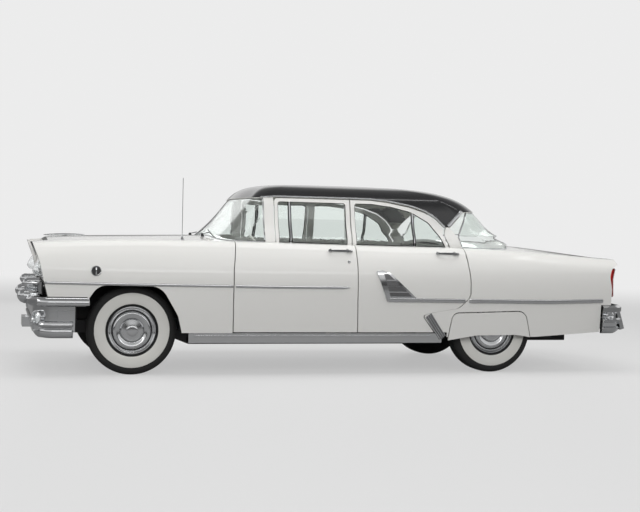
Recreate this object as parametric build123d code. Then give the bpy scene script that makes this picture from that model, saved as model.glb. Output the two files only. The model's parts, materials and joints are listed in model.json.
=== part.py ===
from build123d import *
import math
import os

# A full-size four-door sedan of the 1950s, in millimetres.
# X runs to the rear, Y to the right side and Z up from the floor; the origin is on the floor
# under the middle of the whole car.

# Running gear
WHEELBASE = 3023
FRONT_AXLE_X = -1746
REAR_AXLE_X = FRONT_AXLE_X + WHEELBASE
FRONT_TRACK = 1473
REAR_TRACK = 1499
TYRE_RADIUS = 350
TYRE_WIDTH = 185
RIM_RADIUS = 191
HUB_Z = TYRE_RADIUS
KINGPIN_Y = 620
KINGPIN_RADIUS = 15
SPINDLE_RADIUS = 19
BEARING_GAP = 0.08
AXLE_TUBE_RADIUS = 36

# Body walls, seams and heights
SKIN = 20
DOOR_THICK = 80
LID_THICK = 26
SEAM = 8
FRAME_SEAM = 10
QUARTER_SEAM = 9
ARCH_GAP = 6
DOOR_TOP_INNER_Y = 775
BODY_BOTTOM = 258
DOOR_BOTTOM = 345
SILL_TOP = DOOR_BOTTOM - SEAM
BELT_INNER_Y = 715
ROOF_THICK = 26
DOOR_FRAME_THICK = 22
GLASS = 5
GLASS_INSET = 10
HOOD_HALF_WIDTH = 640
HOOD_REAR_X = -1170
HOOD_BOTTOM = 720
TRUNK_FRONT_X = 1668
TRUNK_HALF_WIDTH = 640
TRUNK_BOTTOM = 620
TAIL_X = 2352
TAIL_THICK = 32
COWL_HALF_WIDTH = 767
PARTING_X = 51

# Upright hinge lines of the doors, and how far the rear door may reach from its own
FRONT_HINGE = (-900, -938)
REAR_HINGE = (105, -945)
REAR_DOOR_REACH = 924
REAR_DOOR_TOP_REACH = 898
DOOR_TOP_Z = 952

# Bumpers
BUMPER_SIDE_Y = 915
REAR_BUMPER_END = 2264

# Floor and frame
FLOOR_Z = 300
FLOOR_THICK = 12
TRUNK_FLOOR_Z = 420
AXLE_FLOOR_Z = 560
RAIL_OUTER_Y = 420
RAIL_INNER_Y = 345

# Lamps
LAMP_X = -2432
LAMP_Y = 755
LAMP_Z = 868
LAMP_RADIUS = 89
LAMP_BEZEL = 12
LAMP_GAP = 3

# Reach of a cut that has to pass right through the car
FAR = 3000
TOP = 1300

# Body sections across the car:
# x, half width at the widest, height of the shoulder, height on the centre line
BODY_SECTIONS = [
    (-2600, 884, 1020, 1040),
    (-2035, 940, 1052, 1088),
    (-1135, 955, 1060, 1112),
    (-35, 962, 1046, 1110),
    (1035, 958, 1036, 1100),
    (1625, 948, 1016, 1078),
    (2145, 930, 983, 1022),
    (2560, 905, 968, 984),
]

# Plan outlines of the glass house, from below the belt to the crown of the roof:
# z, x of the front, x and y of the front corner, its radius, x and y of the rear corner,
# its radius, x of the rear, and how far the surface there faces up (0 to 1)
HOUSE_SECTIONS = [
    (1010, -1140, -1075, 760, 200, 1470, 755, 330, 1690, 0.0),
    (1200, -1010, -935, 720, 180, 1330, 715, 300, 1480, 0.0),
    (1360, -875, -800, 680, 150, 1190, 675, 280, 1290, 0.0),
    (1440, -812, -735, 650, 130, 1075, 645, 260, 1150, 0.2),
    (1500, -745, -665, 590, 120, 900, 585, 250, 975, 0.7),
    (1532, -650, -570, 490, 120, 700, 485, 240, 770, 0.9),
    (1544, -500, -420, 340, 110, 480, 335, 200, 550, 1.0),
    (1549, -330, -260, 180, 90, 230, 175, 120, 300, 1.0),
]

# Side view outlines, from bottom to top, as x, z, corner radius
FENDER_FRONT_EDGE = [
    (-2395, 200, 0), (-2395, 600, 60), (-2430, 740, 200), (-2460, 880, 200), (-2518, 1035, 14),
    (-2518, TOP, 0),
]
HOOD_NOSE = [
    (-2420, 500, 0), (-2420, 715, 20), (-2444, 785, 60), (-2430, 960, 200), (-2330, TOP - 100, 0),
]
QUARTER_REAR_EDGE = [
    (2345, 200, 0), (2345, 590, 0), (2349, 710, 60), (2329, 835, 120), (2365, 905, 60),
    (2418, 915, 20), (2400, TOP - 100, 0),
]
TAIL_EDGE = [
    (TAIL_X, 200, 0), (TAIL_X, 640, 200), (TAIL_X + 12, 800, 150), (TAIL_X - 42, 925, 120),
    (TAIL_X - 192, TOP - 100, 0),
]
FRONT_DOOR_EDGE = [(-955, 200, 0), (-963, 600, 0), (-962, 840, 0), (-940, 1052, 0), (-925, TOP, 0)]
MIDDLE_SEAM = [
    (66, 200, 0), (PARTING_X, 609, 0), (PARTING_X - SEAM / 2, 949, 0), (PARTING_X - SEAM / 2, TOP, 0),
]
REAR_DOOR_EDGE = [
    (722, 200, 0), (722, 345, 0), (612, 485, 20), (700, 508, 40), (930, 545, 90), (1031, 640, 90),
    (1028, 781, 300), (1010, 906, 100), (975, TOP, 0),
]
ARCH_TOP = HUB_Z + TYRE_RADIUS + ARCH_GAP
FRONT_ARCH = [
    (FRONT_AXLE_X - 444, 150, 0), (FRONT_AXLE_X - 374, 560, 200), (FRONT_AXLE_X - 274, ARCH_TOP, 120),
    (FRONT_AXLE_X + 206, ARCH_TOP, 160), (FRONT_AXLE_X + 346, 470, 200), (FRONT_AXLE_X + 421, 150, 0),
]
REAR_ARCH = [
    (REAR_AXLE_X - 451, 150, 0), (REAR_AXLE_X - 397, 510, 70), (REAR_AXLE_X + 263, 528, 90),
    (REAR_AXLE_X + 363, 150, 0),
]
SKIRT = [
    (REAR_AXLE_X - 424, 277, 0), (REAR_AXLE_X - 390, 502, 62), (REAR_AXLE_X + 257, 520, 82),
    (REAR_AXLE_X + 316, 302, 0), (REAR_AXLE_X + 203, 322, 300), (REAR_AXLE_X - 177, 318, 300),
]

# Window openings in the doors, and the line where the roof panel ends
WINDOW_TOP = 1396
FRONT_WINDOW = [
    (-566, 1030, 0), (-566, WINDOW_TOP, 24), (PARTING_X - 39, WINDOW_TOP, 24),
    (PARTING_X - 39, 1030, 0),
]
REAR_WINDOW = [
    (PARTING_X + 37, 1030, 0), (PARTING_X + 37, WINDOW_TOP, 24), (238, WINDOW_TOP, 200),
    (412, 1376, 300), (586, 1336, 300), (738, 1250, 100), (826, 1136, 100), (880, 1030, 0),
]
FRONT_FRAME = [
    (-592, 1000, 0), (-592, 1424, 30), (PARTING_X - FRAME_SEAM / 2, 1424, 0),
    (PARTING_X - FRAME_SEAM / 2, 1000, 0),
]
ROOF_OVER_DOORS = [(240, 1436, 200), (405, 1418, 200), (583, 1385, 200), (718, 1342, 100), (809, 1285, 60)]
ROOF_EDGE = [
    (-1200, 1425, 0), (-640, 1425, 0), (-560, 1436, 0), *ROOF_OVER_DOORS, (880, 1215, 0),
    (925, 1215, 0), (1055, 1345, 0), (1320, 1366, 0), (1600, 1366, 0),
]
REAR_FRAME = [
    (PARTING_X + FRAME_SEAM / 2, 1000, 0), (PARTING_X + FRAME_SEAM / 2, 1424, 0),
    *[(x - FRAME_SEAM, z - FRAME_SEAM - 2, radius) for x, z, radius in ROOF_OVER_DOORS],
    (862, 1203, 0), (850, 1150, 100), (920, 1000, 0),
]
REAR_GLASS_EDGE = [(1075, 900, 0), (990, 1130, 0), (1092, 1340, 0), (1320, 1361, 0), (1800, 1361, 0)]
PILLAR_REAR = (-600, -680)


def rounded_wire(points, plane):
    """A closed outline of straight runs and tangent arcs; each point is u, v, corner radius."""
    corners = []
    for i, (u, v, radius) in enumerate(points):
        corner = Vector(u, v)
        before = Vector(*points[i - 1][:2]) - corner
        after = Vector(*points[(i + 1) % len(points)][:2]) - corner
        half_turn = math.radians(180 - before.get_angle(after)) / 2
        if radius <= 0 or half_turn < 1e-4:
            corners.append((corner, None, corner))
            continue
        reach = min(radius * math.tan(half_turn), 0.48 * min(before.length, after.length))
        radius = reach / math.tan(half_turn)
        inward = (before.normalized() + after.normalized()).normalized()
        middle = corner + inward * (radius / math.cos(half_turn) - radius)
        start = corner + before.normalized() * reach
        end = corner + after.normalized() * reach
        corners.append((start, middle, end))
    place = plane.from_local_coords
    edges = []
    for i, (start, middle, end) in enumerate(corners):
        if middle is not None:
            edges.append(ThreePointArc(place(start), place(middle), place(end)))
        edges.append(Line(place(end), place(corners[(i + 1) % len(corners)][0])))
    return Wire(edges)


def side_prism(points, y_from, y_to):
    """A side view outline of x, z, corner radius, run across the car between two y values."""
    plane = Plane(origin=(0, y_from, 0), x_dir=(1, 0, 0), z_dir=(0, -1, 0))
    face = make_face(rounded_wire(points, plane))
    return extrude(face, amount=y_to - y_from, dir=(0, 1, 0))


def plan_prism(points, z_from, z_to):
    """A plan outline of x, y, corner radius, raised between two heights."""
    face = make_face(rounded_wire(points, Plane.XY.offset(z_from)))
    return extrude(face, amount=z_to - z_from, dir=(0, 0, 1))


def cross_prism(points, x_from, x_to):
    """An outline across the car of y, z, corner radius, run along it between two x values."""
    face = make_face(rounded_wire(points, Plane.YZ.offset(x_from)))
    return extrude(face, amount=x_to - x_from, dir=(1, 0, 0))


def box(x_from, x_to, y_from, y_to, z_from, z_to):
    """A box between two corners."""
    size = (x_to - x_from, y_to - y_from, z_to - z_from)
    centre = ((x_from + x_to) / 2, (y_from + y_to) / 2, (z_from + z_to) / 2)
    return Pos(*centre) * Box(*size)


def rod(start, end, radius):
    """A round bar between two points."""
    start, end = Vector(*start), Vector(*end)
    return extrude(Plane(origin=start, z_dir=end - start) * Circle(radius), amount=(end - start).length)


def upright(place, radius, z_from, z_to):
    """An upright cylinder about a hinge line."""
    return rod((*place, z_from), (*place, z_to), radius)


def turned(profile, centre, axis_dir, plane_x):
    """A piece turned about an axis; the profile is distance along plane_x, radius, corner radius."""
    plane_z = Vector(*plane_x).cross(Vector(0, 0, 1))
    plane = Plane(origin=centre, x_dir=plane_x, z_dir=plane_z)
    return revolve(make_face(rounded_wire(profile, plane)), Axis(centre, axis_dir), 360)


def mirrored(shape):
    """The same piece on the other side of the car."""
    return mirror(shape, Plane.XZ)


def both(*shapes):
    """Pieces of the left side with their mirror images, as separate solids."""
    solids = [solid for shape in shapes for solid in shape.solids()]
    return Compound(children=solids + [mirrored(solid) for solid in solids])


def shifted(points, dx):
    """An outline moved along the car, with its corner radii kept."""
    return [(x + dx, z, radius) for x, z, radius in points]


def straight(x):
    """An upright edge in side view."""
    return [(x, 200, 0), (x, TOP, 0)]


def between(front_edge, rear_edge):
    """A side view outline closed between two edges, both given from bottom to top."""
    return [*front_edge, *reversed(rear_edge)]


def body_section(x, half_width, shoulder, centre, inset, bottom):
    """One section across the body: sill, lower side, widest line, upper side, shoulder, centre."""
    half = [
        (half_width - 42 - inset, bottom, 0),
        (half_width - 14 - inset, 520, 4000),
        (half_width - inset, 720, 3000),
        (half_width - 16 - inset, 900, 1500),
        (half_width - 95 - inset * 0.8, shoulder - inset, 90),
    ]
    peak = centre + (centre - shoulder) * 0.15 - inset
    left = [(-y, z, radius) for y, z, radius in half]
    right = [(y, z, radius) for y, z, radius in reversed(half)]
    return rounded_wire([*left, (0, peak, 9000), *right], Plane.YZ.offset(x))


def body_form(inset, bottom):
    """The whole body as one smooth form, inset all round by a wall."""
    return loft([make_face(body_section(*row, inset, bottom)) for row in BODY_SECTIONS])


def house_outline(z, x_front, x_fc, y_fc, r_front, x_rc, y_rc, r_rear, x_rear, up_share, inset):
    """One plan outline of the glass house."""
    level = inset * (1 - up_share)
    points = [
        (x_front + level, 0, 6000),
        (x_fc + level, y_fc - level, r_front),
        (x_rc - level, y_rc - level, r_rear),
        (x_rear - level, 0, 4000),
        (x_rc - level, level - y_rc, r_rear),
        (x_fc + level, level - y_fc, r_front),
    ]
    return rounded_wire(points, Plane.XY.offset(z - inset * up_share))


def house_form(inset):
    """Roof, pillars and glass as one smooth form, inset all round."""
    return loft([make_face(house_outline(*row, inset)) for row in HOUSE_SECTIONS])


def write(node, shape):
    """Writes one node, as one or several solids that don't touch."""
    export_step(shape, f"parts/{node}.step")


def write_pair(node, shape):
    """Writes a left piece and its mirror image as two nodes."""
    write(f"{node}_left", shape)
    write(f"{node}_right", mirrored(shape))


os.makedirs("parts", exist_ok=True)

# The smooth forms that every panel is cut from
plan_left = [
    (-2560, -800, 300), (-2470, -930, 200), (-2200, -1100, 0), (2200, -1100, 0), (2400, -925, 200),
    (2460, -800, 200),
]
plan_right = [(x, -y, radius) for x, y, radius in reversed(plan_left)]
outer_body = body_form(0, BODY_BOTTOM)
limited_body = outer_body & plan_prism(plan_left + plan_right, 0, 1400)
inner_skin = body_form(SKIN, 100)
inner_door = body_form(DOOR_THICK, 100)
inner_lid = body_form(LID_THICK, 100)
outer_house = house_form(0)
frame_shell = outer_house - house_form(DOOR_FRAME_THICK)
roof_shell = outer_house - house_form(ROOF_THICK)
glass_shell = house_form(GLASS_INSET) - house_form(GLASS_INSET + GLASS)


def make_front_fender():
    """A thin wall with its brow over the lamp, cut for the wheel and the lamp."""
    outline = between(FENDER_FRONT_EDGE, shifted(FRONT_DOOR_EDGE, -SEAM))
    inner = between(shifted(FENDER_FRONT_EDGE, SKIN), straight(-600))
    fender = limited_body & side_prism(outline, -FAR, -HOOD_HALF_WIDTH - SEAM)
    fender -= inner_skin & side_prism(inner, -FAR, 0)
    fender -= side_prism(FRONT_ARCH, -FAR, -500)
    fender -= box(-FAR, -2100, -FAR, 0, 0, 614)
    fender -= box(-FAR, 0, -FAR, 0, 0, SILL_TOP + 1)
    fender -= box(HOOD_REAR_X - 2, 0, -COWL_HALF_WIDTH - SEAM, 0, 900, TOP)
    opening = LAMP_RADIUS + LAMP_BEZEL + LAMP_GAP
    return fender - rod((-FAR, -LAMP_Y, LAMP_Z), (-2300, -LAMP_Y, LAMP_Z), opening)


write_pair("front_fender", make_front_fender())


def make_hood():
    """The middle panel, with its nose turned down over the grille."""
    inner = between(shifted(HOOD_NOSE, LID_THICK), straight(-800))
    outline = between(HOOD_NOSE, straight(HOOD_REAR_X))
    hood = limited_body & side_prism(outline, -HOOD_HALF_WIDTH, HOOD_HALF_WIDTH)
    hood -= inner_lid & side_prism(inner, -FAR, FAR)
    return hood - box(-FAR, FAR, -FAR, FAR, 0, HOOD_BOTTOM)


write("hood", make_hood())
ornament_view = [(-2404, 1040, 0), (-2404, 1074, 4), (-2330, 1094, 60), (-2064, 1096, 0), (-2064, 1040, 0)]
write("hood_ornament", side_prism(ornament_view, -12, 12) - outer_body)


def make_rear_quarter():
    """A thin wall from the rear door to the tail, with the wheel opening that the skirt closes."""
    inner = between(straight(400), shifted(QUARTER_REAR_EDGE, -SKIN))
    inner_y = BELT_INNER_Y - 40
    outline = between(shifted(REAR_DOOR_EDGE, QUARTER_SEAM), QUARTER_REAR_EDGE)
    corner = box(930, 1015, -870, -inner_y, DOOR_TOP_Z + SEAM, TOP)
    corner -= upright(REAR_HINGE, REAR_DOOR_TOP_REACH + SEAM, DOOR_TOP_Z, TOP + 1)
    quarter = limited_body & (side_prism(outline, -FAR, -inner_y) + corner)
    quarter -= inner_skin & side_prism(inner, -FAR, 0)
    quarter -= side_prism(REAR_ARCH, -FAR, -500)
    quarter -= box(TRUNK_FRONT_X - SEAM, FAR, -TRUNK_HALF_WIDTH - SEAM, 0, 0, TOP)
    quarter -= box(0, 840, -FAR, 0, 0, DOOR_BOTTOM)
    quarter -= side_prism([(0, 0, 0), (0, 305, 0), (1640, 305, 0), (2400, 356, 0), (2400, 0, 0)], -FAR, 0)
    return quarter - box(REAR_BUMPER_END - 14, FAR, -FAR, 0, 0, 578)


write_pair("rear_quarter", make_rear_quarter())


def make_trunk_lid():
    """The rear deck, turned down over the tail."""
    inner = between(straight(900), shifted(TAIL_EDGE, -LID_THICK))
    outline = between(straight(TRUNK_FRONT_X), TAIL_EDGE)
    lid = limited_body & side_prism(outline, -TRUNK_HALF_WIDTH, TRUNK_HALF_WIDTH)
    lid -= inner_lid & side_prism(inner, -FAR, FAR)
    return lid - box(-FAR, FAR, -FAR, FAR, 0, TRUNK_BOTTOM)


write("trunk_lid", make_trunk_lid())


def make_tail_panel():
    """The panel below the lid, which the lid closes on."""
    width = TRUNK_HALF_WIDTH + SEAM
    form = limited_body & side_prism(between(straight(2000), TAIL_EDGE), -width, width)
    return form & box(TAIL_X - TAIL_THICK, FAR, -FAR, FAR, 400, TRUNK_BOTTOM - SEAM)


write("tail_panel", make_tail_panel())


def make_door(front_edge, rear_edge, frame, window):
    """A thick slab below the belt, with the window frame standing on it."""
    slab = limited_body & side_prism(between(front_edge, rear_edge), -FAR, -BELT_INNER_Y)
    slab -= inner_door
    slab -= box(-FAR, FAR, -FAR, 0, 0, DOOR_BOTTOM)
    frame = frame_shell & side_prism(frame, -FAR, -400)
    return slab + (frame - side_prism(window, -FAR, -300))


# The windshield's foot stands on the cowl, so ahead of the window frame the front door's top is narrow
frame_x = FRONT_FRAME[0][0]
front_door = make_door(FRONT_DOOR_EDGE, MIDDLE_SEAM, FRONT_FRAME, FRONT_WINDOW)
front_door -= box(-FAR, frame_x, -DOOR_TOP_INNER_Y, 0, 900, TOP)
front_door -= box(-FAR, FRONT_HINGE[0] + 10, -DOOR_TOP_INNER_Y - SEAM, 0, 900, TOP)
write_pair("front_door", front_door)

# The rear door stays within its reach from the hinge line, so that its top clears the quarter
rear_door = make_door(shifted(MIDDLE_SEAM, SEAM), REAR_DOOR_EDGE, REAR_FRAME, REAR_WINDOW)
reach = upright(REAR_HINGE, REAR_DOOR_REACH, 200, DOOR_TOP_Z)
reach += upright(REAR_HINGE, REAR_DOOR_TOP_REACH, DOOR_TOP_Z, 1600)
write_pair("rear_door", rear_door & reach)


# The scoop on the rear door: a plate, a bright band at its front, a foot and three louvres
SCOOP_PLATE = [(222, 838, 0), (314, 830, 20), (548, 622, 0), (310, 622, 0)]
SCOOP_BAND = [(208, 846, 0), (258, 854, 0), (326, 640, 0), (318, 600, 0), (300, 600, 0)]
SCOOP_FOOT = [(306, 618, 0), (306, 638, 0), (536, 638, 0), (556, 618, 0)]
SCOOP_EDGE = [(254, 852, 0), (316, 838, 20), (560, 622, 0), (536, 622, 0), (310, 822, 20), (256, 838, 0)]
SCOOP_LOUVRES = [(772, 376), (724, 430), (676, 486)]


def make_side_scoop():
    """Thin pieces on the door's skin, each of its own thickness, in one solid."""
    plate, ridge, band = (body_form(-thick, 100) - outer_body for thick in (5, 9, 14))
    scoop = plate & side_prism(SCOOP_PLATE, -FAR, -700)
    scoop += band & side_prism(SCOOP_BAND, -FAR, -700)
    for view in (SCOOP_FOOT, SCOOP_EDGE):
        scoop += ridge & side_prism(view, -FAR, -700)
    for z, x_to in SCOOP_LOUVRES:
        scoop += ridge & box(290, x_to, -FAR, -700, z - 5, z + 5)
    return scoop


write_pair("side_scoop", make_side_scoop())


def make_door_glass(window, bar_from, bar_to):
    """The panes of one door: two sheets with a bar's gap between them, standing in the frame."""
    panes = (glass_shell & side_prism(window, -FAR, -400)) - outer_body
    return panes - box(bar_from, bar_to, -FAR, 0, 900, 1500)


write_pair("front_door_glass", make_door_glass(FRONT_WINDOW, -474, -456))
write_pair("rear_door_glass", make_door_glass(REAR_WINDOW, 590, 606))

# Roof panel, pillars and the two wrap-round windows
roof_limit = [*ROOF_EDGE, (1600, 1700, 0), (-1200, 1700, 0)]
write("roof_panel", roof_shell & side_prism(roof_limit, -FAR, FAR))


def make_pillars():
    """Windshield pillars, rear pillars and the posts inside the parting of the doors."""
    below = (roof_shell - outer_body) - side_prism(roof_limit, -FAR, FAR)
    front = below & box(PILLAR_REAR[1], PILLAR_REAR[0], -FAR, 0, 1000, 1500)
    rear_outline = [
        (890, 1211, 0), (925, 1211, 0), (985, 1130, 0), (1028, 1014, 0), (1028, 950, 0),
        (935, 950, 0), (935, 1000, 0), (866, 1150, 100),
    ]
    rear = below & side_prism(rear_outline, -FAR, 0)
    post_view = [
        (-690, FLOOR_Z + FLOOR_THICK, 0), (-690, 1000, 0), (-618, 1432, 0), (-585, 1432, 0),
        (-655, 1000, 0), (-655, FLOOR_Z + FLOOR_THICK, 0),
    ]
    post = cross_prism(post_view, PARTING_X - 31, PARTING_X + 31)
    return both(front, rear, post)


write("pillars", make_pillars())
windshield_view = [(-1300, 900, 0), (-1300, 1421, 0), (-684, 1421, 0), (-684, 900, 0)]
write("windshield", (glass_shell & side_prism(windshield_view, -FAR, FAR)) - outer_body)
rear_window_view = [*shifted(REAR_GLASS_EDGE, 4), (1800, 900, 0)]
write("rear_window", (glass_shell & side_prism(rear_window_view, -FAR, FAR)) - outer_body)


def make_cowl():
    """The top between hood and windshield, with the firewall under it."""
    plan = box(HOOD_REAR_X + SEAM, PILLAR_REAR[0], -COWL_HALF_WIDTH, COWL_HALF_WIDTH, 900, TOP)
    top = (outer_body & plan) - inner_skin
    top -= house_form(60)
    wall_view = [
        (-1150, 1085, 0), (-1130, 1085, 0), (-1130, 640, 60), (-1012, 340, 0), (-1012, 300, 0),
        (-1034, 300, 0), (-1150, 620, 60),
    ]
    wall = side_prism(wall_view, -760, 760)
    wall -= cross_prism([(-150, 200, 0), (-150, 470, 60), (150, 470, 60), (150, 200, 0)], -1300, -900)
    return top + wall


write("firewall_cowl", make_cowl())


def make_rear_shelf():
    """The body's top between the rear doors and the trunk lid, and the bulkhead under it."""
    half_width = BELT_INNER_Y - 40 - SEAM
    outline = between(straight(990), straight(TRUNK_FRONT_X - SEAM))
    shelf = (outer_body & side_prism(outline, -half_width, half_width)) - inner_skin
    return shelf + box(1000, 1020, -585, 585, AXLE_FLOOR_Z + FLOOR_THICK, 1060)


write("rear_shelf", make_rear_shelf())


def floor_line(top):
    """The floor's line in side view: cabin, seat riser, kick-up over the axle, trunk."""
    return [
        (640 - top, FLOOR_Z + top, 30), (760 - top, 480 + top, 40), (960, AXLE_FLOOR_Z + top, 60),
        (1620 + top / 2, AXLE_FLOOR_Z + top, 60), (1760 + top / 2, TRUNK_FLOOR_Z + top, 60),
    ]


def make_floor():
    """The cabin pan with its tunnel, the seat riser, the kick-up and the trunk floor."""
    thick = FLOOR_THICK
    end = TAIL_X - TAIL_THICK - FRAME_SEAM
    under, over = floor_line(0), floor_line(thick)
    view = [
        (-1012, FLOOR_Z, 0), *under, (end, TRUNK_FLOOR_Z, 0), (end, TRUNK_FLOOR_Z + thick, 0),
        *reversed(over), (-1012, FLOOR_Z + thick, 0),
    ]
    pan = side_prism(view, -585, 585)
    pan += box(-1012, 636, -812, 812, FLOOR_Z, FLOOR_Z + thick)
    pan += box(1780, end, -800, 800, TRUNK_FLOOR_Z, TRUNK_FLOOR_Z + thick)
    tunnel, hollow = [], []
    for x, half_width, top in [(-1012, 150, 470), (-560, 120, 380), (700, 120, 380)]:
        outside = [
            (-half_width, FLOOR_Z, 0), (-half_width + 30, top, 40),
            (half_width - 30, top, 40), (half_width, FLOOR_Z, 0),
        ]
        wall = thick
        inside = [
            (-half_width + wall, FLOOR_Z - 30, 0), (-half_width + 30 + wall, top - wall, 30),
            (half_width - 30 - wall, top - wall, 30), (half_width - wall, FLOOR_Z - 30, 0),
        ]
        tunnel.append(make_face(rounded_wire(outside, Plane.YZ.offset(x))))
        hollow.append(make_face(rounded_wire(inside, Plane.YZ.offset(x))))
    return pan + loft(tunnel, ruled=True) - loft(hollow, ruled=True)


write("floor_pan", make_floor())
sill = limited_body & box(-1315, 795, -FAR, -816, BODY_BOTTOM, SILL_TOP)
write("sills", both(sill))


def make_wheelhouses():
    """Arched sheets over the wheels, closed on their inner side."""
    sheet = 6
    pieces = []
    for axle_x, inner_y, reach, top, foot in [
        (FRONT_AXLE_X, RAIL_OUTER_Y - 15, 440, 810, TRUNK_FLOOR_Z),
        (REAR_AXLE_X, 590, 400, 780, TRUNK_FLOOR_Z),
    ]:
        front, rear = axle_x - reach, axle_x + reach
        outside = [(front, foot, 0), (front, top, 180), (rear, top, 180), (rear, foot, 0)]
        inside = [
            (front + sheet, foot - 1, 0), (front + sheet, top - sheet, 174),
            (rear - sheet, top - sheet, 174), (rear - sheet, foot - 1, 0),
        ]
        house = side_prism(outside, -905, -inner_y) - side_prism(inside, -905, -inner_y - sheet)
        pieces.append(house & inner_skin)
    pieces[0] -= box(-FAR, 0, -FAR, -885, 0, TOP)
    pieces[1] -= box(0, REAR_DOOR_EDGE[5][0] + 14, -FAR, -800, 0, TOP)
    return both(*pieces)


write("wheelhouses", make_wheelhouses())


def make_skirts():
    """Removable panels that close the rear wheel openings, down to just above the hubs."""
    return both((limited_body - inner_skin) & side_prism(SKIRT, -FAR, -600))


write("fender_skirts", make_skirts())


def make_frame():
    """Two long rails that drop under the cabin and rise over the axle, with cross members."""
    rail_view = [
        (-2380, 300, 0), (-2380, 400, 0), (-1500, 400, 80), (-1250, 296, 80), (690, 296, 80),
        (900, 500, 80), (1560, 500, 80), (1800, 400, 60), (2300, 400, 0), (2300, 320, 0),
        (1780, 320, 60), (1540, 430, 80), (930, 430, 80), (720, 205, 80), (-1240, 205, 80),
        (-1480, 300, 80),
    ]
    rail = side_prism(rail_view, -RAIL_OUTER_Y, -RAIL_INNER_Y)
    frame = rail + mirrored(rail)
    for x_from, x_to, z_from, z_to in [
        (-2380, -2320, 310, 390), (-520, -440, 235, 268), (640, 690, 235, 290), (2240, 2300, 325, 395),
    ]:
        frame += box(x_from, x_to, -RAIL_INNER_Y - 5, RAIL_INNER_Y + 5, z_from, z_to)
    return frame


write("frame_rails", make_frame())


def make_engine():
    """The engine as one plain block with its sump and gearbox."""
    block = box(-1880, -1260, -250, 250, 430, 800)
    sump = box(-1620, -1300, -150, 150, 310, 440)
    gearbox = rod((-1270, 0, 385), (-640, 0, 305), 66) & box(-1265, -640, -FAR, FAR, 0, FAR)
    return block + sump + gearbox + box(-1300, -1200, -120, 120, 300, 500)


write("engine", make_engine())
radiator = box(-2240, -2180, -340, 340, 401, 900)
write("radiator", radiator)
write("fuel_tank", box(1830, 2200, -330, 330, 225, TRUNK_FLOOR_Z))


def make_exhaust():
    """A silencer with its pipe ahead and behind, under the right side of the floor."""
    pipe = rod((-1150, 230, 206), (1000, 230, 206), 24) + rod((-150, 230, 206), (450, 230, 206), 44)
    for x in (-490, 655):
        pipe += box(x, x + 20, 215, 245, 210, 235)
    return pipe


write("exhaust", make_exhaust())


FRONT_SEAT_HALF = 620
REAR_SEAT_HALF = 580
PEDESTAL_Y = (200, 560)
PEDESTAL_TOP = 400
FRONT_CUSHION = [(-560, 392, 30), (-560, 600, 60), (-50, 590, 30), (-50, 392, 30)]
FRONT_BACK = [(-62, 440, 30), (-62, 600, 20), (-10, 1000, 60), (115, 980, 60), (70, 440, 30)]


def pedestals(x_from, x_to):
    """The two feet of a bench, on the floor pan."""
    foot = box(x_from, x_to, -PEDESTAL_Y[1], -PEDESTAL_Y[0], FLOOR_Z + FLOOR_THICK, PEDESTAL_TOP)
    return foot, mirrored(foot)


def make_front_seat():
    """A bench: cushion on two pedestals, and a leaning back."""
    seat = side_prism(FRONT_CUSHION, -FRONT_SEAT_HALF, FRONT_SEAT_HALF)
    seat += side_prism(FRONT_BACK, -FRONT_SEAT_HALF, FRONT_SEAT_HALF)
    for foot in pedestals(-480, -100):
        seat += foot
    return seat


def make_rear_seat():
    """A bench on the seat riser, with its back against the bulkhead."""
    view = [
        (330, 388, 20), (320, 610, 60), (840, 575, 20), (930, 1010, 50), (994, 1010, 10),
        (994, AXLE_FLOOR_Z + FLOOR_THICK + 6, 0), (930, AXLE_FLOOR_Z + FLOOR_THICK + 6, 0), (720, 504, 0),
        (650, 388, 0),
    ]
    seat = side_prism(view, -REAR_SEAT_HALF, REAR_SEAT_HALF)
    for foot in pedestals(360, 600):
        seat += foot
    return seat


write("front_seat", make_front_seat())
write("rear_seat", make_rear_seat())


def make_dashboard():
    """The instrument panel with the steering column that it carries."""
    view = [(-1045, 1030, 30), (-880, 1020, 40), (-850, 940, 40), (-885, 760, 30), (-1045, 800, 0)]
    panel = side_prism(view, -690, 690)
    column_end = [STEERING_HUB[i] - 36 * STEERING_AXIS[i] for i in range(3)]
    column_start = [STEERING_HUB[i] - 430 * STEERING_AXIS[i] for i in range(3)]
    return panel + rod(column_start, column_end, 24)


COLUMN_ANGLE = math.radians(25)
STEERING_HUB = (-640, -370, 905)
STEERING_AXIS = (math.cos(COLUMN_ANGLE), 0, math.sin(COLUMN_ANGLE))
STEERING_RADIUS = 215
write("dashboard", make_dashboard())


def make_steering_wheel():
    """A thin rim on two spokes."""
    plane = Plane(origin=STEERING_HUB, x_dir=(0, 1, 0), z_dir=STEERING_AXIS)
    cut_plane = Plane(origin=STEERING_HUB, x_dir=(0, 1, 0), z_dir=plane.x_dir.cross(plane.z_dir))
    section = cut_plane * Pos(STEERING_RADIUS, 0) * RegularPolygon(12, 6)
    rim = revolve(section, Axis(STEERING_HUB, STEERING_AXIS), 360)
    hub = extrude(plane.offset(-34) * Circle(34), amount=44)
    return rim + hub + plane * Box(2 * STEERING_RADIUS, 28, 10)


write("steering_wheel", make_steering_wheel())

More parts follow.
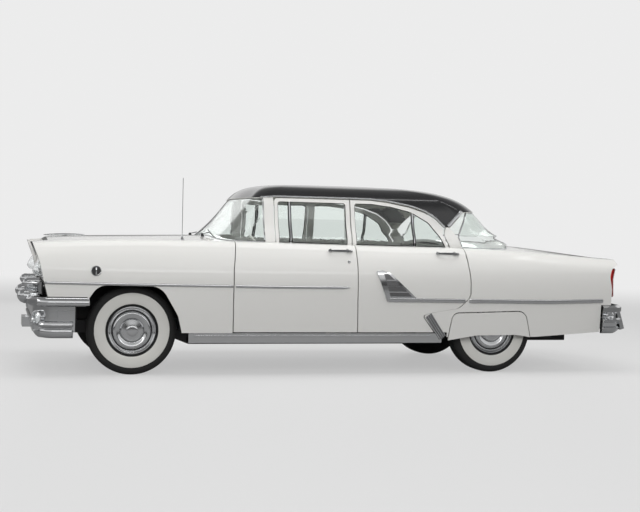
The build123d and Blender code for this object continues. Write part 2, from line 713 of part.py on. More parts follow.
# Tyres and wheels: distance outward from the wheel's middle, radius, corner radius
TYRE_PROFILE = [
    (-70, RIM_RADIUS, 0), (-TYRE_WIDTH / 2, 240, 0), (-88, 305, 0), (-66, TYRE_RADIUS, 0),
    (66, TYRE_RADIUS, 0), (88, 305, 0), (TYRE_WIDTH / 2, 240, 0), (70, RIM_RADIUS, 0),
]
WHEEL_PROFILE = [
    (-70, 168, 0), (-70, RIM_RADIUS, 0), (70, RIM_RADIUS, 0), (78, 178, 0), (60, 158, 0),
    (68, 100, 0), (88, 84, 0), (96, 0, 0), (30, 0, 0), (30, SPINDLE_RADIUS + BEARING_GAP, 0),
    (-30, SPINDLE_RADIUS + BEARING_GAP, 0), (-30, 60, 0), (36, 150, 0),
]
for end, axle_x, track in [("front", FRONT_AXLE_X, FRONT_TRACK), ("rear", REAR_AXLE_X, REAR_TRACK)]:
    centre = (axle_x, -track / 2, HUB_Z)
    write_pair(f"tyre_{end}", turned(TYRE_PROFILE, centre, (0, 1, 0), (0, -1, 0)))
    write_pair(f"wheel_{end}", turned(WHEEL_PROFILE, centre, (0, 1, 0), (0, -1, 0)))


def make_knuckle():
    """The steering knuckle: kingpin, spindle and steering arm."""
    x, y = FRONT_AXLE_X, -KINGPIN_Y
    post = rod((x, y, 205), (x, y, 496), KINGPIN_RADIUS)
    boss = box(x - 30, x + 30, y - 30, y + 25, HUB_Z - 45, HUB_Z + 45)
    spindle = rod((x, y, HUB_Z), (x, -FRONT_TRACK / 2 - 25, HUB_Z), SPINDLE_RADIUS)
    arm = box(x, x + 170, y - 8, y + 14, 310, 330)
    return post + boss + spindle + arm


write_pair("knuckle", make_knuckle())


def make_front_suspension():
    """The cross member under the rails, with a tower and two arms for each knuckle."""
    x = FRONT_AXLE_X
    tower_outer = RAIL_OUTER_Y + 36
    parts = box(x - 70, x + 70, -tower_outer, tower_outer, 215, 299)
    corner = box(x - 50, x + 50, -tower_outer, -RAIL_OUTER_Y - 1, 215, 498)
    corner += box(x - 60, x + 60, -645, -tower_outer + 30, 203, 221)
    corner += box(x - 60, x + 60, -645, -RAIL_OUTER_Y - 1, 480, 498)
    corner -= rod((x, -KINGPIN_Y, 190), (x, -KINGPIN_Y, 510), KINGPIN_RADIUS + BEARING_GAP)
    return parts + corner + mirrored(corner)


write("front_suspension", make_front_suspension())


# The differential's case: distance along the axle, radius, corner radius
CASE_PROFILE = [(-110, 0, 0), (-110, 60, 0), (-60, 128, 0), (60, 128, 0), (110, 60, 0), (110, 0, 0)]


def make_rear_suspension():
    """The live axle with its differential, the propeller shaft and two leaf springs."""
    x = REAR_AXLE_X
    tube = rod((x, -640, HUB_Z), (x, 640, HUB_Z), AXLE_TUBE_RADIUS)
    ends = rod((x, -REAR_TRACK / 2 - 25, HUB_Z), (x, REAR_TRACK / 2 + 25, HUB_Z), SPINDLE_RADIUS)
    case = turned(CASE_PROFILE, (x, 0, HUB_Z), (0, 1, 0), (0, 1, 0))
    shaft = rod((-638, 0, 305), (x - 60, 0, HUB_Z), 30)
    spring_view = [(680, 230, 0), (x, 285, 900), (1960, 268, 0), (1960, 290, 0), (x, 325, 900), (680, 255, 0)]
    spring = side_prism(spring_view, -560, -500)
    return tube + ends + case + shaft + spring + mirrored(spring)


write("rear_suspension", make_rear_suspension())

# Headlamps: bucket, bezel and domed lens in one; distance ahead, radius, corner radius
LAMP_PROFILE = [
    (-60, 0, 0), (-60, 50, 0), (-20, LAMP_RADIUS + LAMP_BEZEL, 0), (12, LAMP_RADIUS + LAMP_BEZEL, 0),
    (14, LAMP_RADIUS, 0), (28, 45, 0), (34, 0, 0),
]
lamp_centre = (LAMP_X, -LAMP_Y, LAMP_Z)
write("headlamps", both(turned(LAMP_PROFILE, lamp_centre, (1, 0, 0), (-1, 0, 0))))


def make_tail_lamps():
    """Tall narrow lamps in the ends of the rear fenders."""
    view = [(2275, 640, 0), (2275, 880, 0), (2392, 895, 12), (2372, 800, 60), (2376, 650, 10)]
    block = side_prism(view, -885, -825)
    return both(block - side_prism(between(straight(400), QUARTER_REAR_EDGE), -FAR, 0))


write("tail_lamps", make_tail_lamps())


def wrap_bar(path_points, bend, section, z_centre):
    """A bar of one section bent along a plan line; the section is height, outward offset, radius."""
    path = FilletPolyline(*[(x, y, z_centre) for x, y in path_points], radius=bend)
    plane = Plane(origin=path @ 0, x_dir=(0, 0, 1), z_dir=path % 0)
    return sweep(make_face(rounded_wire(section, plane)), path=path)


def wrap_path(end_x, corner_x, front_x, side_y, front_y):
    """The plan line of a bar that wraps round both corners of the car, from left to right."""
    left = [(end_x, -side_y), (corner_x, -side_y), (front_x, -front_y)]
    return left + [(x, -y) for x, y in reversed(left)]


PLATE_HOLE_SPACING = 177.8
PLATE_HOLE_RADIUS = 3.5
PLATE_Z = 375
FRONT_UPPER_Z = 574
FRONT_LOWER_Z = 362
REAR_UPPER_Z = 540
REAR_LOWER_Z = 400
BAR_UPPER = [(-34, 20, 0), (-34, -6, 0), (-20, -28, 0), (16, -28, 0), (34, -2, 0), (34, 20, 0)]
BAR_LOWER = [
    (-66, 40, 0), (-66, 22, 0), (-48, 0, 0), (-14, -22, 0), (-4, -8, 0), (26, -12, 0), (36, -32, 0),
    (54, -32, 0), (66, -12, 0), (66, 40, 0),
]
BAR_BACK = [(-130, -6, 0), (-130, 8, 0), (130, 8, 0), (130, -6, 0)]
BAR_BEND = 90
BACK_BEND = 70
BACK_Z = 470

# Bullets in two lobes: height, radius, x of the tip and of the back; then the nose's own line
BULLET_Y = 450
BULLET_BACK_X = -2446
LOBES = [(596, 60, -2618), (696, 44, -2580)]
# A nose as shares: how far its length falls short of the whole by radii, and its radius there
NOSE_SHARES = [(0.9, 1), (0.4, 0.75), (0.1, 0.35), (0, 0)]
# The round lamps sit on the slanted part of the back panel, which runs between these two corners
BACK_CORNER = (-2400, BUMPER_SIDE_Y - 26)
BACK_FRONT = (-2500, 770)
BACK_SLANT = math.dist(BACK_CORNER, BACK_FRONT)
LAMP_DIR = (
    -(BACK_CORNER[1] - BACK_FRONT[1]) / BACK_SLANT, -(BACK_CORNER[0] - BACK_FRONT[0]) / BACK_SLANT, 0,
)
LAMP_SEAT_DEPTH = 6
LAMP_SEAT_Z = 452
LAMP_ROOM_RADIUS = 58
LAMP_ROOM_LENGTH = 90
LAMP_SEAT = (
    (BACK_CORNER[0] + BACK_FRONT[0]) / 2 + LAMP_SEAT_DEPTH * LAMP_DIR[0],
    -(BACK_CORNER[1] + BACK_FRONT[1]) / 2 + LAMP_SEAT_DEPTH * LAMP_DIR[1], LAMP_SEAT_Z,
)
PARKING_PROFILE = [(0, 0, 0), (0, 56, 0), (34, 54, 0), (38, 46, 0), (22, 40, 0), (26, 18, 0), (28, 0, 0)]


def with_plate_bracket(bumper, face_x, depth):
    """A flat bracket for a licence plate on the middle of a bumper, drilled right through."""
    x_from, x_to = sorted((face_x, face_x + depth))
    bumper += box(x_from, x_to, -152, 152, PLATE_Z - 50, PLATE_Z + 30)
    for side in (-1, 1):
        y = side * PLATE_HOLE_SPACING / 2
        bumper -= rod((x_from - 100, y, PLATE_Z), (x_to + 100, y, PLATE_Z), PLATE_HOLE_RADIUS)
    return bumper


def make_front_bumper():
    """Two wrap-round bars joined by a recessed panel, with two bullets and two brackets."""
    side = BUMPER_SIDE_Y
    bumper = wrap_bar(wrap_path(-2112, -2420, -2522, side, 780), BAR_BEND, BAR_UPPER, FRONT_UPPER_Z)
    bumper += wrap_bar(wrap_path(-2205, -2400, -2484, side, 780), BAR_BEND, BAR_LOWER, FRONT_LOWER_Z)
    back_line = wrap_path(-2190, BACK_CORNER[0], BACK_FRONT[0], BACK_CORNER[1], BACK_FRONT[1])
    bumper += wrap_bar(back_line, BACK_BEND, BAR_BACK, BACK_Z)
    panel = box(-2325, -2194, -side - 4, 24 - side, 444, 508)
    bumper += panel + mirrored(panel)
    for z, radius, tip_x in LOBES:
        length = BULLET_BACK_X - tip_x
        nose = [(0, 0, 0), (0, radius, 0)]
        nose += [(length - radius * short, radius * share, 0) for short, share in NOSE_SHARES]
        lobe = turned(nose, (BULLET_BACK_X, -BULLET_Y, z), (1, 0, 0), (-1, 0, 0))
        bumper += lobe + mirrored(lobe)
    room_end = [LAMP_SEAT[i] + LAMP_ROOM_LENGTH * LAMP_DIR[i] for i in range(3)]
    lamp_room = rod(LAMP_SEAT, room_end, LAMP_ROOM_RADIUS)
    bumper -= lamp_room + mirrored(lamp_room)
    bracket = box(-2500, -2380, -410, -355, 330, 380)
    bumper = with_plate_bracket(bumper, -2568, 82)
    return bumper + bracket + mirrored(bracket)


write("front_bumper", make_front_bumper())
write("parking_lamps", both(turned(PARKING_PROFILE, LAMP_SEAT, LAMP_DIR, LAMP_DIR)))


GRILLE_X = -2432
GRILLE_TEETH = 23
GRILLE_PITCH = 52
GRILLE_GAP = 5
TOOTH_HALF = 5
# A tooth in side view: ahead of the plate and height
TOOTH_VIEW = [(-1, 626), (22, 626), (30, 664), (22, 700), (-1, 700)]


def make_grille():
    """The grille between hood lip and bumper: a back plate with two bars and a row of teeth."""
    grille = box(GRILLE_X, GRILLE_X + 8, -640, 640, 612, 714)
    for z in (624, 702):
        grille += box(GRILLE_X - 34, GRILLE_X + 1, -620, 620, z - 7, z + 7)
    tooth = [(GRILLE_X - ahead, z, 0) for ahead, z in TOOTH_VIEW]
    for i in range(GRILLE_TEETH):
        y = (i - (GRILLE_TEETH - 1) / 2) * GRILLE_PITCH
        grille += side_prism(tooth, y - TOOTH_HALF, y + TOOTH_HALF)
    for z, radius, tip_x in LOBES:
        room = rod((-FAR, -BULLET_Y, z), (GRILLE_X - 1, -BULLET_Y, z), radius + GRILLE_GAP)
        grille -= room + mirrored(room)
    return grille


write("grille", make_grille())


REAR_POD_Z = 488
REAR_POD_PROFILE = [(-22, 0, 0), (-22, 38, 0), (24, 38, 0), (30, 30, 0), (24, 16, 0), (4, 14, 0), (4, 0, 0)]


def make_rear_bumper():
    """Two bowed bars that wrap round the corners, joined by a round pod and a guard at each side."""
    line = wrap_path(REAR_BUMPER_END, 2384, 2480, BUMPER_SIDE_Y, 790)
    line = [*line[:3], (2588, -300), (2588, 300), *line[3:]][::-1]
    bumper = wrap_bar(line, 80, BAR_UPPER, REAR_UPPER_Z)
    bumper += wrap_bar(line, 80, BAR_LOWER, REAR_LOWER_Z)
    back = wrap_bar(line, 60, [(-60, 14, 0), (-60, 2, 0), (60, 2, 0), (60, 14, 0)], REAR_POD_Z)
    pod = turned(REAR_POD_PROFILE, (2325, -BUMPER_SIDE_Y, REAR_POD_Z), (0, 1, 0), (0, -1, 0))
    guard = side_prism([(2440, 530, 0), (2472, 530, 0), (2520, 372, 0), (2486, 360, 0)], -832, -772)
    bracket = box(2300, 2570, -410, -355, 340, 390)
    bumper += back
    for piece in (pod, guard, bracket):
        bumper += piece + mirrored(piece)
    return with_plate_bracket(bumper, 2620, -60)


write("rear_bumper", make_rear_bumper())
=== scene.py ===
# %% [markdown]
# # A four-door sedan of the 1950s, finished in Blender
# The construction is already there: every panel, pane, wheel and hinge comes in as a solid at its real
# place. This lesson gives those solids their paint, chrome, glass and cloth, and models what is too
# fine or too soft for the construction: tyres, trim, lamps, seats and small fittings. Sizes are metres.

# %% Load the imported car
import bpy
import bmesh
import json
import math
from mathutils import Matrix, Vector

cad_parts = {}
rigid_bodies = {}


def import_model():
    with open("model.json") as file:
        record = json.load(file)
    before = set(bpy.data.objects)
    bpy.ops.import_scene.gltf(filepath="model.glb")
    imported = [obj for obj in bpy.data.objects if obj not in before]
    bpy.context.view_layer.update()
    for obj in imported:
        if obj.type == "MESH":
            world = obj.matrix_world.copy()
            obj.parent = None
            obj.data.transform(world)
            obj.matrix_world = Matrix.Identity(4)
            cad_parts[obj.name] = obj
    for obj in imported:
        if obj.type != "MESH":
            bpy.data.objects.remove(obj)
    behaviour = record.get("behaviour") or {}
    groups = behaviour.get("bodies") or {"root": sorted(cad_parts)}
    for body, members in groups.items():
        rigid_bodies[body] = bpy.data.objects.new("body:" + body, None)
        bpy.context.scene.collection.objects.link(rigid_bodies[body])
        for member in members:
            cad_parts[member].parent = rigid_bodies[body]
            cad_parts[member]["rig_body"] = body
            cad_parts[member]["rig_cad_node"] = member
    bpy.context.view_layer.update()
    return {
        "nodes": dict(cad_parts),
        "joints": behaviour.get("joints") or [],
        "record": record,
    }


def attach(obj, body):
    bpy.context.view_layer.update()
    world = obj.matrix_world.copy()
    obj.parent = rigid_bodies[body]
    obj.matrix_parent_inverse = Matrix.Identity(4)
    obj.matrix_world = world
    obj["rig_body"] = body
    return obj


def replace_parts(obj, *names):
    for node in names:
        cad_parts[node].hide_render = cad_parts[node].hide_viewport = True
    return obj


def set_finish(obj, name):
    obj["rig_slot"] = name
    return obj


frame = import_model()
nodes = frame["nodes"]
joint_of = {joint["child"]: joint for joint in frame["joints"]}
scene = bpy.context.scene
bpy.ops.object.select_all(action="DESELECT")

# %% [markdown]
# ## The camera
# The photograph was taken from the left, a little above the belt, with a long lens about ten metres
# away. The place and the three angles were worked out from the wheels and the body's lines, so the
# camera is set with them and nothing is tried by eye.

# %% Camera
CAMERA_PLACE = Vector((-2.811, -10.438, 1.147))
CAMERA_YAW = math.radians(14.99)
CAMERA_PITCH = math.radians(-1.09)
CAMERA_ROLL = math.radians(1.26)
LENS_MILLIMETRES = 68.83
SENSOR_MILLIMETRES = 36


def camera_axes(yaw, pitch, roll):
    """Right, up and back of a camera that looks along +Y when the yaw and the pitch are zero."""
    ahead = Vector((math.sin(yaw) * math.cos(pitch), math.cos(yaw) * math.cos(pitch), math.sin(pitch)))
    level_right = Vector((math.cos(yaw), -math.sin(yaw), 0.0))
    level_up = level_right.cross(ahead)
    right = math.cos(roll) * level_right + math.sin(roll) * level_up
    up = math.cos(roll) * level_up - math.sin(roll) * level_right
    return right, up, -ahead


bpy.ops.object.camera_add(location=CAMERA_PLACE)
camera = bpy.context.object
camera.rotation_mode = "QUATERNION"
turn = Matrix(camera_axes(CAMERA_YAW, CAMERA_PITCH, CAMERA_ROLL)).transposed()
camera.rotation_quaternion = turn.to_quaternion()
camera.data.lens = LENS_MILLIMETRES
camera.data.sensor_width = SENSOR_MILLIMETRES
scene.camera = camera
print("camera at", tuple(CAMERA_PLACE))

# %% [markdown]
# ## Shader nodes
# Floor, sky and finishes are small trees of shader nodes. By hand, each node is added, its inputs get
# values, and the outputs of other nodes are wired to it. One helper does all three, so a tree reads
# as a list of what each node is fed with.

# %% Helpers for shader nodes
def feed(tree, node, inputs):
    """Each input takes a value or, where another node's output is given, a wire from it."""
    for socket, source in inputs.items():
        if isinstance(source, bpy.types.NodeSocket):
            tree.links.new(source, node.inputs[socket])
        else:
            node.inputs[socket].default_value = source
    return node


def add_node(tree, kind, inputs, **settings):
    """A new node with its settings made and its inputs fed."""
    node = tree.nodes.new("ShaderNode" + kind)
    for setting, value in settings.items():
        setattr(node, setting, value)
    return feed(tree, node, inputs)


def feed_shader(finish, inputs):
    """The same for the Principled shader of a finish."""
    feed(finish.node_tree, finish.node_tree.nodes["Principled BSDF"], inputs)
    return finish


def new_finish(name, color, roughness, metallic=0.0):
    """A material of one colour and polish."""
    finish = bpy.data.materials.new(name)
    finish.use_nodes = True
    return feed_shader(finish, {"Base Color": (*color, 1), "Roughness": roughness, "Metallic": metallic})


def seen_straight(tree):
    """One where the camera sees a thing, also through glass, and zero where a mirror does."""
    ray = add_node(tree, "LightPath", {})
    kinds = {0: ray.outputs["Is Camera Ray"], 1: ray.outputs["Is Transmission Ray"]}
    return add_node(tree, "Math", kinds, operation="MAXIMUM").outputs[0]


print("node helpers are ready")

# %% [markdown]
# ## Floor and light
# A studio for a car is one pale floor and large soft lamps. The broad ones only light the paint: they
# are hidden from mirrors, or they would lie as grey patches on the black roof. Narrow strips are left
# for the mirrors, and they draw slim bright lines along the roof and the shoulder. The sky is dark at
# the horizon, bright above it and grey overhead, and the floor is darker in mirrors than for the
# camera: that gives the chrome its light and dark bands. The camera itself sees a pale backdrop, also
# through the glass, and far from the car the floor turns into it, so no line shows where it ends.

# %% Floor
FLOOR_SIZE = 120.0
FLOOR_TONE = (0.62, 0.62, 0.62, 1)
FLOOR_ROUGHNESS = 0.55
MIRRORED_FLOOR_TONE = (0.25, 0.25, 0.25, 1)
BACKDROP_TONE = (0.84, 0.84, 0.84, 1)
# How far from the car the floor starts and ends to turn into the backdrop, and its glow under the car
FADE = {"From Min": 7.0, "From Max": 20.0, "To Min": 0.55}

bpy.ops.mesh.primitive_plane_add(size=FLOOR_SIZE, location=(0, 0, 0))
floor = bpy.context.object
floor.name = "studio_floor"
floor_finish = new_finish("floor_paint", FLOOR_TONE[:3], FLOOR_ROUGHNESS)
floor.data.materials.append(floor_finish)

tree = floor_finish.node_tree
straight = seen_straight(tree)
tones = {"Factor": straight, "A": MIRRORED_FLOOR_TONE, "B": FLOOR_TONE}
tone = add_node(tree, "Mix", tones, data_type="RGBA")
feed_shader(floor_finish, {"Base Color": tone.outputs["Result"]})
place = add_node(tree, "TexCoord", {})
distance = add_node(tree, "VectorMath", {0: place.outputs["Object"]}, operation="LENGTH")
reach = {"Value": distance.outputs["Value"], **FADE}
fade = add_node(tree, "MapRange", reach, interpolation_type="SMOOTHSTEP")
share = add_node(tree, "Math", {0: straight, 1: fade.outputs["Result"]}, operation="MULTIPLY")
glow = add_node(tree, "Emission", {"Color": BACKDROP_TONE})
paint = tree.nodes["Principled BSDF"].outputs[0]
surface = add_node(tree, "MixShader", {0: share.outputs[0], 1: paint, 2: glow.outputs[0]})
feed(tree, tree.nodes["Material Output"], {"Surface": surface.outputs[0]})
print("a floor of", FLOOR_SIZE, "m that fades between", FADE["From Min"], "and", FADE["From Max"])

# %% Lamps
# Each lamp: name, place, what it looks at, width, height, watts, whether mirrors show it
LAMPS = [
    ("overhead", (0.0, -0.6, 5.2), (0.0, 0.0, 0.0), 8.0, 3.2, 195, False),
    ("camera_side", (-1.5, -8.5, 4.4), (0.0, 0.0, 0.6), 9.0, 2.5, 230, False),
    ("far_side", (0.5, 8.0, 3.4), (0.0, 0.0, 0.8), 9.0, 3.0, 150, False),
    ("front", (-8.5, -2.0, 2.8), (-1.0, 0.0, 0.8), 4.0, 3.0, 80, False),
    ("rear", (8.5, -2.0, 2.8), (1.0, 0.0, 0.8), 4.0, 3.0, 80, False),
    ("strip_overhead", (0.0, -2.6, 5.0), (0.0, 0.0, 1.2), 9.0, 0.30, 26, True),
    ("strip_camera_side", (-1.0, -9.5, 2.6), (0.0, 0.0, 0.6), 9.0, 0.50, 26, True),
    ("strip_front", (-8.0, 0.0, 3.0), (-1.0, 0.0, 0.8), 3.0, 0.50, 14, True),
    ("strip_rear", (8.0, 0.0, 3.0), (1.0, 0.0, 0.8), 3.0, 0.50, 14, True),
]
for name, place, target, width, height, watts, mirrored in LAMPS:
    bpy.ops.object.light_add(type="AREA", location=place)
    lamp = bpy.context.object
    lamp.name = "lamp_" + name
    lamp.data.shape = "RECTANGLE"
    lamp.data.size = width
    lamp.data.size_y = height
    lamp.data.energy = watts
    lamp.visible_glossy = mirrored
    lamp.rotation_euler = (Vector(target) - Vector(place)).to_track_quat("-Z", "Y").to_euler()
print(len(LAMPS), "lamps")

# %% Sky and backdrop
# Each band of the sky: how far up the view goes there, and the band's tone
SKY_BANDS = [(0.0, 0.10), (0.05, 0.12), (0.11, 1.00), (0.42, 0.95), (0.60, 0.34), (1.0, 0.30)]
SKY_STRENGTH = 0.7

world = bpy.data.worlds.new("studio")
scene.world = world
world.use_nodes = True
tree = world.node_tree
place = add_node(tree, "TexCoord", {})
parts = add_node(tree, "SeparateXYZ", {0: place.outputs["Generated"]})
sky_tone = add_node(tree, "ValToRGB", {"Fac": parts.outputs["Z"]})
bands = sky_tone.color_ramp.elements
for height, tone in SKY_BANDS[1:-1]:
    bands.new(height)
for band, (height, tone) in zip(bands, SKY_BANDS):
    band.color = (tone, tone, tone, 1)
sky = feed(tree, tree.nodes["Background"], {"Color": sky_tone.outputs["Color"], "Strength": SKY_STRENGTH})
pale = add_node(tree, "Background", {"Color": BACKDROP_TONE, "Strength": 1.0})
choice = add_node(tree, "MixShader", {0: seen_straight(tree), 1: sky.outputs[0], 2: pale.outputs[0]})
feed(tree, tree.nodes["World Output"], {"Surface": choice.outputs[0]})
scene.view_settings.view_transform = "Standard"
print("sky bands at", [round(band.position, 2) for band in bands])

# %% [markdown]
# ## Paint, chrome, glass, rubber and cloth
# The body is a pale enamel under a clear coat and the roof is black, polished until it mirrors the
# sky. Each finish is a Principled shader whose small variations read Object coordinates, so they
# stay on the metal when a door or the hood swings. One finish is made for each material slot of the
# construction and then put on every solid that names that slot.

# %% Finishes of the construction
CHROME_TONE = (0.72, 0.73, 0.74)
UNEVEN_POLISH = 0.05


def enamel(name, color, roughness):
    """Car paint: colour under a clear coat."""
    return feed_shader(new_finish(name, color, roughness), {"Coat Weight": 1.0, "Coat Roughness": 0.04})


def glassy(name, color, roughness=0.0):
    """Glass that light passes through."""
    return feed_shader(new_finish(name, color, roughness), {"Transmission Weight": 1.0, "IOR": 1.45})


def plain(name, color, roughness, metallic=0.0, scale=60, depth=0.0004):
    """A finish with a fine grain that lifts its surface and makes its polish uneven."""
    finish = new_finish(name, color, roughness, metallic)
    tree = finish.node_tree
    place = add_node(tree, "TexCoord", {})
    noise = add_node(tree, "TexNoise", {"Vector": place.outputs["Object"], "Scale": scale, "Detail": 3})
    grain = noise.outputs["Fac"]
    bump = add_node(tree, "Bump", {"Height": grain, "Distance": depth, "Strength": 0.5})
    ends = {"To Min": roughness - UNEVEN_POLISH, "To Max": roughness + UNEVEN_POLISH}
    polish = add_node(tree, "MapRange", {"Value": grain, **ends})
    return feed_shader(finish, {"Normal": bump.outputs["Normal"], "Roughness": polish.outputs["Result"]})


FINISHES = {
    "body_paint": enamel("ivory_enamel", (0.79, 0.785, 0.76), 0.35),
    "roof_paint": enamel("black_enamel", (0.010, 0.010, 0.011), 0.2),
    "window_glass": glassy("window_glass", (0.90, 0.94, 0.92)),
    "chrome": new_finish("chrome", CHROME_TONE, 0.07, 1.0),
    "wheel_cover": new_finish("polished_cover", (0.70, 0.71, 0.72), 0.10, 1.0),
    "tyre": plain("tyre_rubber", (0.018, 0.018, 0.018), 0.75, scale=300, depth=0.0006),
    "underbody": plain("underbody_coat", (0.030, 0.030, 0.030), 0.80, scale=120, depth=0.0015),
    "dark_steel": plain("dark_steel", (0.060, 0.060, 0.062), 0.50, 0.6, scale=90),
    "engine_iron": plain("engine_enamel", (0.10, 0.12, 0.13), 0.55, 0.1, scale=80, depth=0.001),
    "seat_fabric": plain("seat_cloth", (0.52, 0.51, 0.48), 0.85, scale=400, depth=0.0005),
    "dash_paint": enamel("dash_enamel", (0.46, 0.46, 0.44), 0.4),
    "wheel_plastic": plain("rim_plastic", (0.62, 0.61, 0.57), 0.3, scale=30, depth=0.0001),
    "lamp_glass": glassy("lamp_glass", (0.93, 0.94, 0.94), 0.02),
    "red_lens": glassy("red_lens", (0.55, 0.02, 0.02), 0.05),
}
for part in frame["record"]["subparts"]:
    solid = nodes[part["node"]]
    solid.data.materials.clear()
    solid.data.materials.append(FINISHES[part["material_slot"]])
print(len(FINISHES), "finishes on", len(nodes), "solids")

# %% [markdown]
# ## How a new piece is started and finished
# Operators act on whatever is selected, so every piece starts from an empty selection. When a piece
# has its shape, its place is applied to its mesh, it is smoothed where faces meet at a small angle, it
# gets its finish and it is hung on the body that it moves with. Most fittings come in pairs: the left
# one is modelled and the right one is a mirrored copy whose faces are turned outwards again.

# %% Helpers for every piece
SAME_POINT = 0.00002


def pick(piece):
    """Object mode, with this piece alone selected and active."""
    if bpy.context.object and bpy.context.object.mode != "OBJECT":
        bpy.ops.object.mode_set(mode="OBJECT")
    bpy.ops.object.select_all(action="DESELECT")
    if piece:
        piece.select_set(True)
        bpy.context.view_layer.objects.active = piece


def open_mesh(piece):
    """Edit mode of this piece, with its whole mesh selected."""
    pick(piece)
    bpy.ops.object.mode_set(mode="EDIT")
    bpy.ops.mesh.select_all(action="SELECT")


def close_mesh():
    """Back to object mode."""
    bpy.ops.object.mode_set(mode="OBJECT")


def apply_place():
    """The place, turn and scale of the selected piece go into its mesh."""
    bpy.ops.object.transform_apply(location=True, rotation=True, scale=True)


def apply_modifier(piece, kind, **settings):
    """One modifier, set and applied."""
    pick(piece)
    modifier = piece.modifiers.new(kind.lower(), kind)
    for setting, value in settings.items():
        setattr(modifier, setting, value)
    bpy.ops.object.modifier_apply(modifier=modifier.name)


def close_up(piece):
    """Doubles are merged and every face is turned outwards."""
    open_mesh(piece)
    bpy.ops.mesh.remove_doubles(threshold=SAME_POINT)
    bpy.ops.mesh.normals_make_consistent(inside=False)
    close_mesh()


def settle(piece, name, body, slot, finish=None, smooth=50):
    """The end of every piece: place applied, smoothed, painted as its slot is and hung on its body."""
    pick(piece)
    apply_place()
    bpy.ops.object.shade_smooth_by_angle(angle=math.radians(smooth))
    piece.name = name
    piece.data.name = name
    if not piece.data.materials:
        piece.data.materials.append(finish or FINISHES[slot])
    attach(piece, body)
    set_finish(piece, slot)
    return piece


def copy_of(piece):
    """A copy with its own mesh that hangs on nothing."""
    pick(piece)
    bpy.ops.object.duplicate(linked=False)
    copy = bpy.context.object
    copy.parent = None
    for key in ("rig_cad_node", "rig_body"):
        if key in copy:
            del copy[key]
    return copy


def other_side(piece):
    """The right-hand twin of a left piece."""
    twin = copy_of(piece)
    twin.scale = (1, -1, 1)
    bpy.ops.object.transform_apply(location=False, rotation=False, scale=True)
    close_up(twin)
    twin.name = piece.name.replace("left", "right")
    twin.data.name = twin.name
    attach(twin, piece["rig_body"].replace("left", "right"))
    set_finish(twin, piece["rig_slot"])
    return twin


def lay(piece, place, ahead=(0, 0, 1)):
    """A piece modelled along Z at the origin goes to its place, with its Z turned to a direction."""
    piece.rotation_mode = "QUATERNION"
    piece.rotation_quaternion = Vector(ahead).to_track_quat("Z", "Y")
    piece.location = place
    pick(piece)
    apply_place()
    return piece


def turned(profile, segments, shell=False):
    """A ring for each row of height and radius, each extruded from the one before; closed at its ends."""
    pick(None)
    height, radius = profile[0]
    fill = "NOTHING" if shell or profile[-1] == profile[0] else "NGON"
    bpy.ops.mesh.primitive_circle_add(vertices=segments, radius=radius, fill_type=fill)
    piece = bpy.context.object
    open_mesh(piece)
    bpy.ops.transform.translate(value=(0, 0, height))
    for next_height, next_radius in profile[1:]:
        rise = (0, 0, next_height - height)
        bpy.ops.mesh.extrude_region_move(TRANSFORM_OT_translate={"value": rise})
        share = next_radius / radius
        bpy.ops.transform.resize(value=(share, share, 1), center_override=(0, 0, next_height))
        height, radius = next_height, next_radius
    close_up(piece)
    return piece


def block(low, high, bevel=0.0, segments=2):
    """A box between two corners, with its edges rounded."""
    pick(None)
    middle = [(a + b) / 2 for a, b in zip(low, high)]
    bpy.ops.mesh.primitive_cube_add(size=1, location=middle)
    piece = bpy.context.object
    piece.scale = [b - a for a, b in zip(low, high)]
    apply_place()
    if bevel:
        apply_modifier(piece, "BEVEL", width=bevel, segments=segments, limit_method="ANGLE")
    return piece


def joined(pieces):
    """Several meshes as one piece."""
    pick(pieces[0])
    for piece in pieces:
        piece.select_set(True)
    bpy.ops.object.join()
    return bpy.context.object


print("piece helpers are ready")

# %% [markdown]
# ## Tyres with a white side
# A bias-ply tyre of the time is tall and round-shouldered, with four zigzag grooves in its tread and a
# wide white band on its outer side. A ring of vertices is extruded from row to row across the tyre.
# The rows of the grooves are then pushed left and right in turn, which makes the zigzag, and the
# faces between two radii on the outer side get the white rubber. The places of the four wheels are
# those of their joints.

# %% One tyre and its copies
TYRE_RINGS = 144
TYRE_RADIUS = 0.350
TREAD_ROUNDING = 0.35
GROOVE_PLACES = (0.042, 0.014, -0.014, -0.042)
GROOVE_HALF = 0.005
GROOVE_BOTTOM_HALF = 0.0035
GROOVE_DEPTH = 0.007
ZIGZAG = 0.0022
GROOVED_HALF = 0.050
GROOVED_FROM = 0.335
WHITE_BANDS = [(0.205, 0.295)]
OUTER_SIDE = 0.060
SIDE_ROWS = [(0.064, 0.186), (0.070, 0.192), (0.080, 0.200), (0.086, 0.207), (0.0895, 0.222),
             (0.0915, 0.240), (0.0915, 0.262), (0.0900, 0.284), (0.0880, 0.294), (0.0865, 0.298),
             (0.0870, 0.303), (0.0845, 0.318), (0.0790, 0.333), (0.0715, 0.3435), (0.064, 0.3485)]
white_rubber = plain("white_rubber", (0.72, 0.715, 0.68), 0.55, scale=200, depth=0.0003)


def paint_rings(piece, slot, ring_finish, rings):
    """A turned piece gets the finish of its slot, and another one between some radii of its outer side."""
    piece.data.materials.append(FINISHES[slot])
    piece.data.materials.append(ring_finish)
    for face in piece.data.polygons:
        radius = face.center.to_2d().length
        if face.center.z > OUTER_SIDE and any(inner < radius < outer for inner, outer in rings):
            face.material_index = 1


